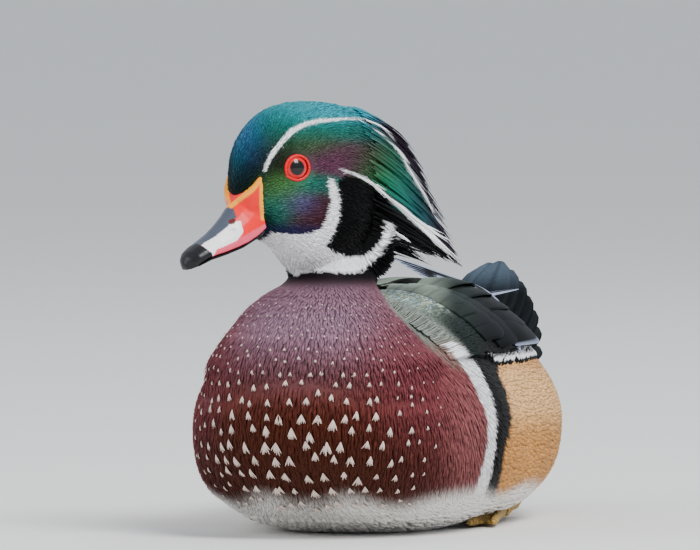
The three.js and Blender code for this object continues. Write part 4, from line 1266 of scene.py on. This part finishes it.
def make_flank_edge(name):
    side = SIDES[name]
    draw = np.random.default_rng(SEED + 5)
    count = EDGE_BLADES
    x = draw.uniform(-78, 12, count)
    degrees = draw.uniform(51, 57, count)
    t = np.linspace(0, 1, 9)
    station = x[:, None] - 14 * t * draw.uniform(0.7, 1.2, count)[:, None]
    turn = degrees[:, None] - 4.0 * t
    paths, normals = on_body(station, side * turn, -2.2 + 2.5 * np.sin(0.5 * math.pi * t))
    half = draw.uniform(0.3, 0.55, count)[:, None] * np.interp(t, [0, 0.5, 0.85, 1], [0.5, 1, 0.9, 0.2])
    colour = body_paint(paths.reshape(-1, 3)).reshape(paths.shape)
    colour[:, 2:5] = BLACK
    colour[:, 5:8] = WHITE
    colour[:, 8:] = BLACK
    blades(f"flank_edge_{name}", paths, half, 0.08, normals, colour, body_unwrap(paths[:, 0]),
           breast_feather, ["torso"])


for flank_name in SIDES:
    make_flank_edge(flank_name)

# The tail

TAIL_ROOT = np.array([-124.0, 0.0, 66.0])
TAIL_AXES = np.array(Matrix.Rotation(math.radians(5), 3, "Z") @ Matrix.Rotation(math.radians(21.5), 3, "Y")
                     @ Matrix.Rotation(math.radians(-7), 3, "X"))


def tail_paint(points):
    across, down = in_picture(points).T
    # Painted gloss: lighter blue-grey towards the tail's top and front.
    return mix(RUMP, TAIL_GLOSS, ramp(down, 296, 266) * ramp(across, 540, 500))


def tail_line(side, index, layer, length, spread):
    fan = math.radians(1.4 + spread * index)
    share = np.array([0, 0.35, 0.7, 1])
    sag = 3 * np.sin(math.pi * share) + 0.42 * index**2 * share**2
    along = length * share
    flat = np.stack([-along * math.cos(fan), side * along * math.sin(fan), -layer - sag], -1)
    return flat @ TAIL_AXES.T + TAIL_ROOT


def make_tail():
    draw = np.random.default_rng(SEED + 4)
    vanes = []

    def add(side, index, layer, length, width, thick, spread):
        roof = math.radians(2.6 * index)
        up = TAIL_AXES @ np.array([0, side * math.sin(roof), math.cos(roof)])
        colour_at = vane_colour(tail_paint, draw.uniform(0.8, 1.15))
        line = tail_line(side, index, layer, length, spread)
        vanes.append(vane(line, lambda points: np.broadcast_to(up, points.shape), width, thick, broad_tip, 0,
                          colour_at, 0.03, stations=18))

    for index in range(7):
        for side in SIDES.values():
            apart = 2 * index + (0 if side == LEFT else 1) if index < 3 else index + 3
            add(side, index, apart * 1.3, 90 - 0.5 * index**2, 19, 0.5, 2.9)
    for index in range(4):
        for side in SIDES.values():
            add(side, index, -2.6 + 0.5 * index, 48 - 4 * index, 14, 0.5, 4.5)
            add(side, index, 17 - 0.6 * index, 50 - 4 * index, 15, 0.5, 4.5)
    vane_piece("tail_vanes", vanes, tail_feather, ["tail"])


make_tail()

# Bill, eyes and feet

JAW_BLACK = linear(24, 20, 22)
PUPIL_BLACK = linear(6, 5, 6)
IRIS_RED = linear(204, 4, 8)
IRIS_RIM = linear(96, 6, 10)
LID_RED = linear(212, 4, 28)
FOOT_YELLOW = linear(190, 150, 66)
FOOT_DARK = linear(92, 78, 52)
# Degrees from the eye's middle over which its colours run into each other
PUPIL_EDGE = (27.1, 28.1)
RIM_EDGE = (38, 42)


def make_bill():
    points, faces = node_mesh("bill_upper", voxel=0.4, rounds=5)
    upper = add_object("bill", points, faces, bill_paint(points), horn)
    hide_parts("bill_upper")
    points, faces = node_mesh("bill_lower", voxel=0.4, rounds=4)
    lower = add_object("jaw", points, faces, JAW_BLACK, horn)
    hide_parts("bill_lower")


make_bill()


def eye_axes(side, forward):
    out = np.array([math.sin(forward), side * math.cos(forward), 0])
    ahead = np.array([math.cos(forward), -side * math.sin(forward), 0])
    return out, ahead


def make_eye(name):
    side = SIDES[name]
    lid_out, lid_ahead = eye_axes(side, EYE_FORWARD)
    centre = np.array([0, side * EYE_OUT, 0]) - lid_out * EYE_RADIUS
    out, ahead = eye_axes(side, EYE_LOOK)
    up = np.array([0, 0, 1.0])
    polar = np.concatenate([np.linspace(0.5, 26, 14), [27.2, 28.0], np.linspace(30, 150, 60)])
    polar = np.radians(polar)[:, None]
    sides = 72
    turn = circle(sides)[None]
    flat = ahead * np.cos(turn)[..., None] + up * np.sin(turn)[..., None]
    rings = centre + EYE_RADIUS * (out * np.cos(polar)[..., None] + flat * np.sin(polar)[..., None])
    points, faces = loft(from_head(rings))
    angle = np.concatenate([np.repeat(np.degrees(polar[:, 0]), sides), [0.0, 150.0]])
    colour = mix(PUPIL_BLACK, IRIS_RED, ramp(angle, *PUPIL_EDGE))
    colour = mix(colour, IRIS_RIM, ramp(angle, *RIM_EDGE))
    ball = add_object(f"eyeball_{name}", points, faces, colour, eye_glass)
    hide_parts(f"eye_{name}")

    count, around = 96, 14
    turn = circle(count)[:, None]
    section = circle(around)[None]
    from_corner = np.abs(np.arctan2(np.sin(turn + 0.72), np.cos(turn + 0.72)))
    spread = math.radians(48) + math.radians(7) * np.exp(-3.2 * from_corner)
    flat = lid_ahead * np.cos(turn)[..., None] + up * 0.93 * np.sin(turn)[..., None]
    outward_way = flat * np.sin(spread)[..., None] + lid_out * np.cos(spread)[..., None]
    in_plane = flat * np.cos(spread)[..., None] - lid_out * np.sin(spread)[..., None]
    fat = 0.6 * (1 + 0.05 * np.sin(turn * 23))
    reach = EYE_RADIUS + 0.45 + fat * np.cos(section)
    rings = centre + outward_way * reach[..., None] + in_plane * (fat * np.sin(section))[..., None]
    points = from_head(rings).reshape(-1, 3)
    a = (np.arange(count)[:, None] * around + np.arange(around)[None]).ravel()
    b = (np.arange(count)[:, None] * around + (np.arange(around)[None] + 1) % around).ravel()
    c = (a + around) % (count * around)
    d = (b + around) % (count * around)
    points, faces = outward(points, np.concatenate([np.stack([a, b, d], -1), np.stack([a, d, c], -1)]))
    tone = np.repeat(1 + 0.1 * np.sin(turn[:, 0] * 23), around)[:, None]
    lid = add_object(f"eyelid_{name}", points, faces, LID_RED * tone, lid_skin)
    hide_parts(f"eye_ring_{name}")


for eye_name in SIDES:
    make_eye(eye_name)


def make_feet():
    for part in ("leg", "foot"):
        for name in SIDES:
            points, faces = node_mesh(f"{part}_{name}", voxel=0.4, rounds=4)
            colour = mix(FOOT_YELLOW, FOOT_DARK, 0.5 + 0.5 * np.sin(points[:, 0] * 2.1))
            piece = add_object(f"{part}_{name}_skin", points, faces, colour, foot_skin)
            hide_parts(f"{part}_{name}")


make_feet()

# Floor, light and camera

def make_stage():
    size = 100.0
    corners = [(-size, -size, 0), (size, -size, 0), (size, size, 0), (-size, size, 0)]
    mesh = bpy.data.meshes.new("floor")
    mesh.from_pydata(corners, [], [(0, 1, 2, 3)])
    floor = bpy.data.objects.new("floor", mesh)
    bpy.context.scene.collection.objects.link(floor)
    material = bpy.data.materials.new("floor")
    material.use_nodes = True
    shader = material.node_tree.nodes["Principled BSDF"]
    shader.inputs["Base Color"].default_value = (0.8, 0.79, 0.77, 1)
    shader.inputs["Roughness"].default_value = 0.8
    mesh.materials.append(material)

    world = bpy.data.worlds.new("studio")
    world.use_nodes = True
    world.node_tree.nodes["Background"].inputs["Color"].default_value = (0.86, 0.92, 1.0, 1)
    world.node_tree.nodes["Background"].inputs["Strength"].default_value = 0.85
    bpy.context.scene.world = world

    middle = Vector((0.02, 0, 0.08))
    # Each lamp's name, place in metres, width and power
    lamps = [
        ("key", (1.2, 1.5, 2.2), 1.2, 95),
        ("fill", (1.6, -2.2, 1.2), 1.6, 26),
        ("rim", (-2.0, 0.6, 1.8), 1.2, 10),
    ]
    for name, place, width, power in lamps:
        lamp = bpy.data.lights.new(name, "AREA")
        lamp.size = width
        lamp.energy = power
        light = bpy.data.objects.new(name, lamp)
        light.location = place
        light.rotation_euler = (Vector(place) - middle).to_track_quat("Z", "Y").to_euler()
        bpy.context.scene.collection.objects.link(light)


def make_camera():
    camera = bpy.data.cameras.new("camera")
    camera.sensor_width = SENSOR
    camera.sensor_fit = "HORIZONTAL"
    camera.lens = FOCAL / PICTURE[0] * SENSOR
    camera.clip_start = 0.1
    camera.clip_end = 100
    obj = bpy.data.objects.new("camera", camera)
    obj.location = Vector(camera_place * MM)
    axes = np.stack([view_right, view_up, view_back], axis=1)
    obj.rotation_euler = Matrix(axes.tolist()).to_euler()
    bpy.context.scene.collection.objects.link(obj)
    bpy.context.scene.camera = obj


for leftover in ("Cube", "Light", "Camera"):
    if leftover in bpy.data.objects:
        bpy.data.objects.remove(bpy.data.objects[leftover])
make_stage()
make_camera()
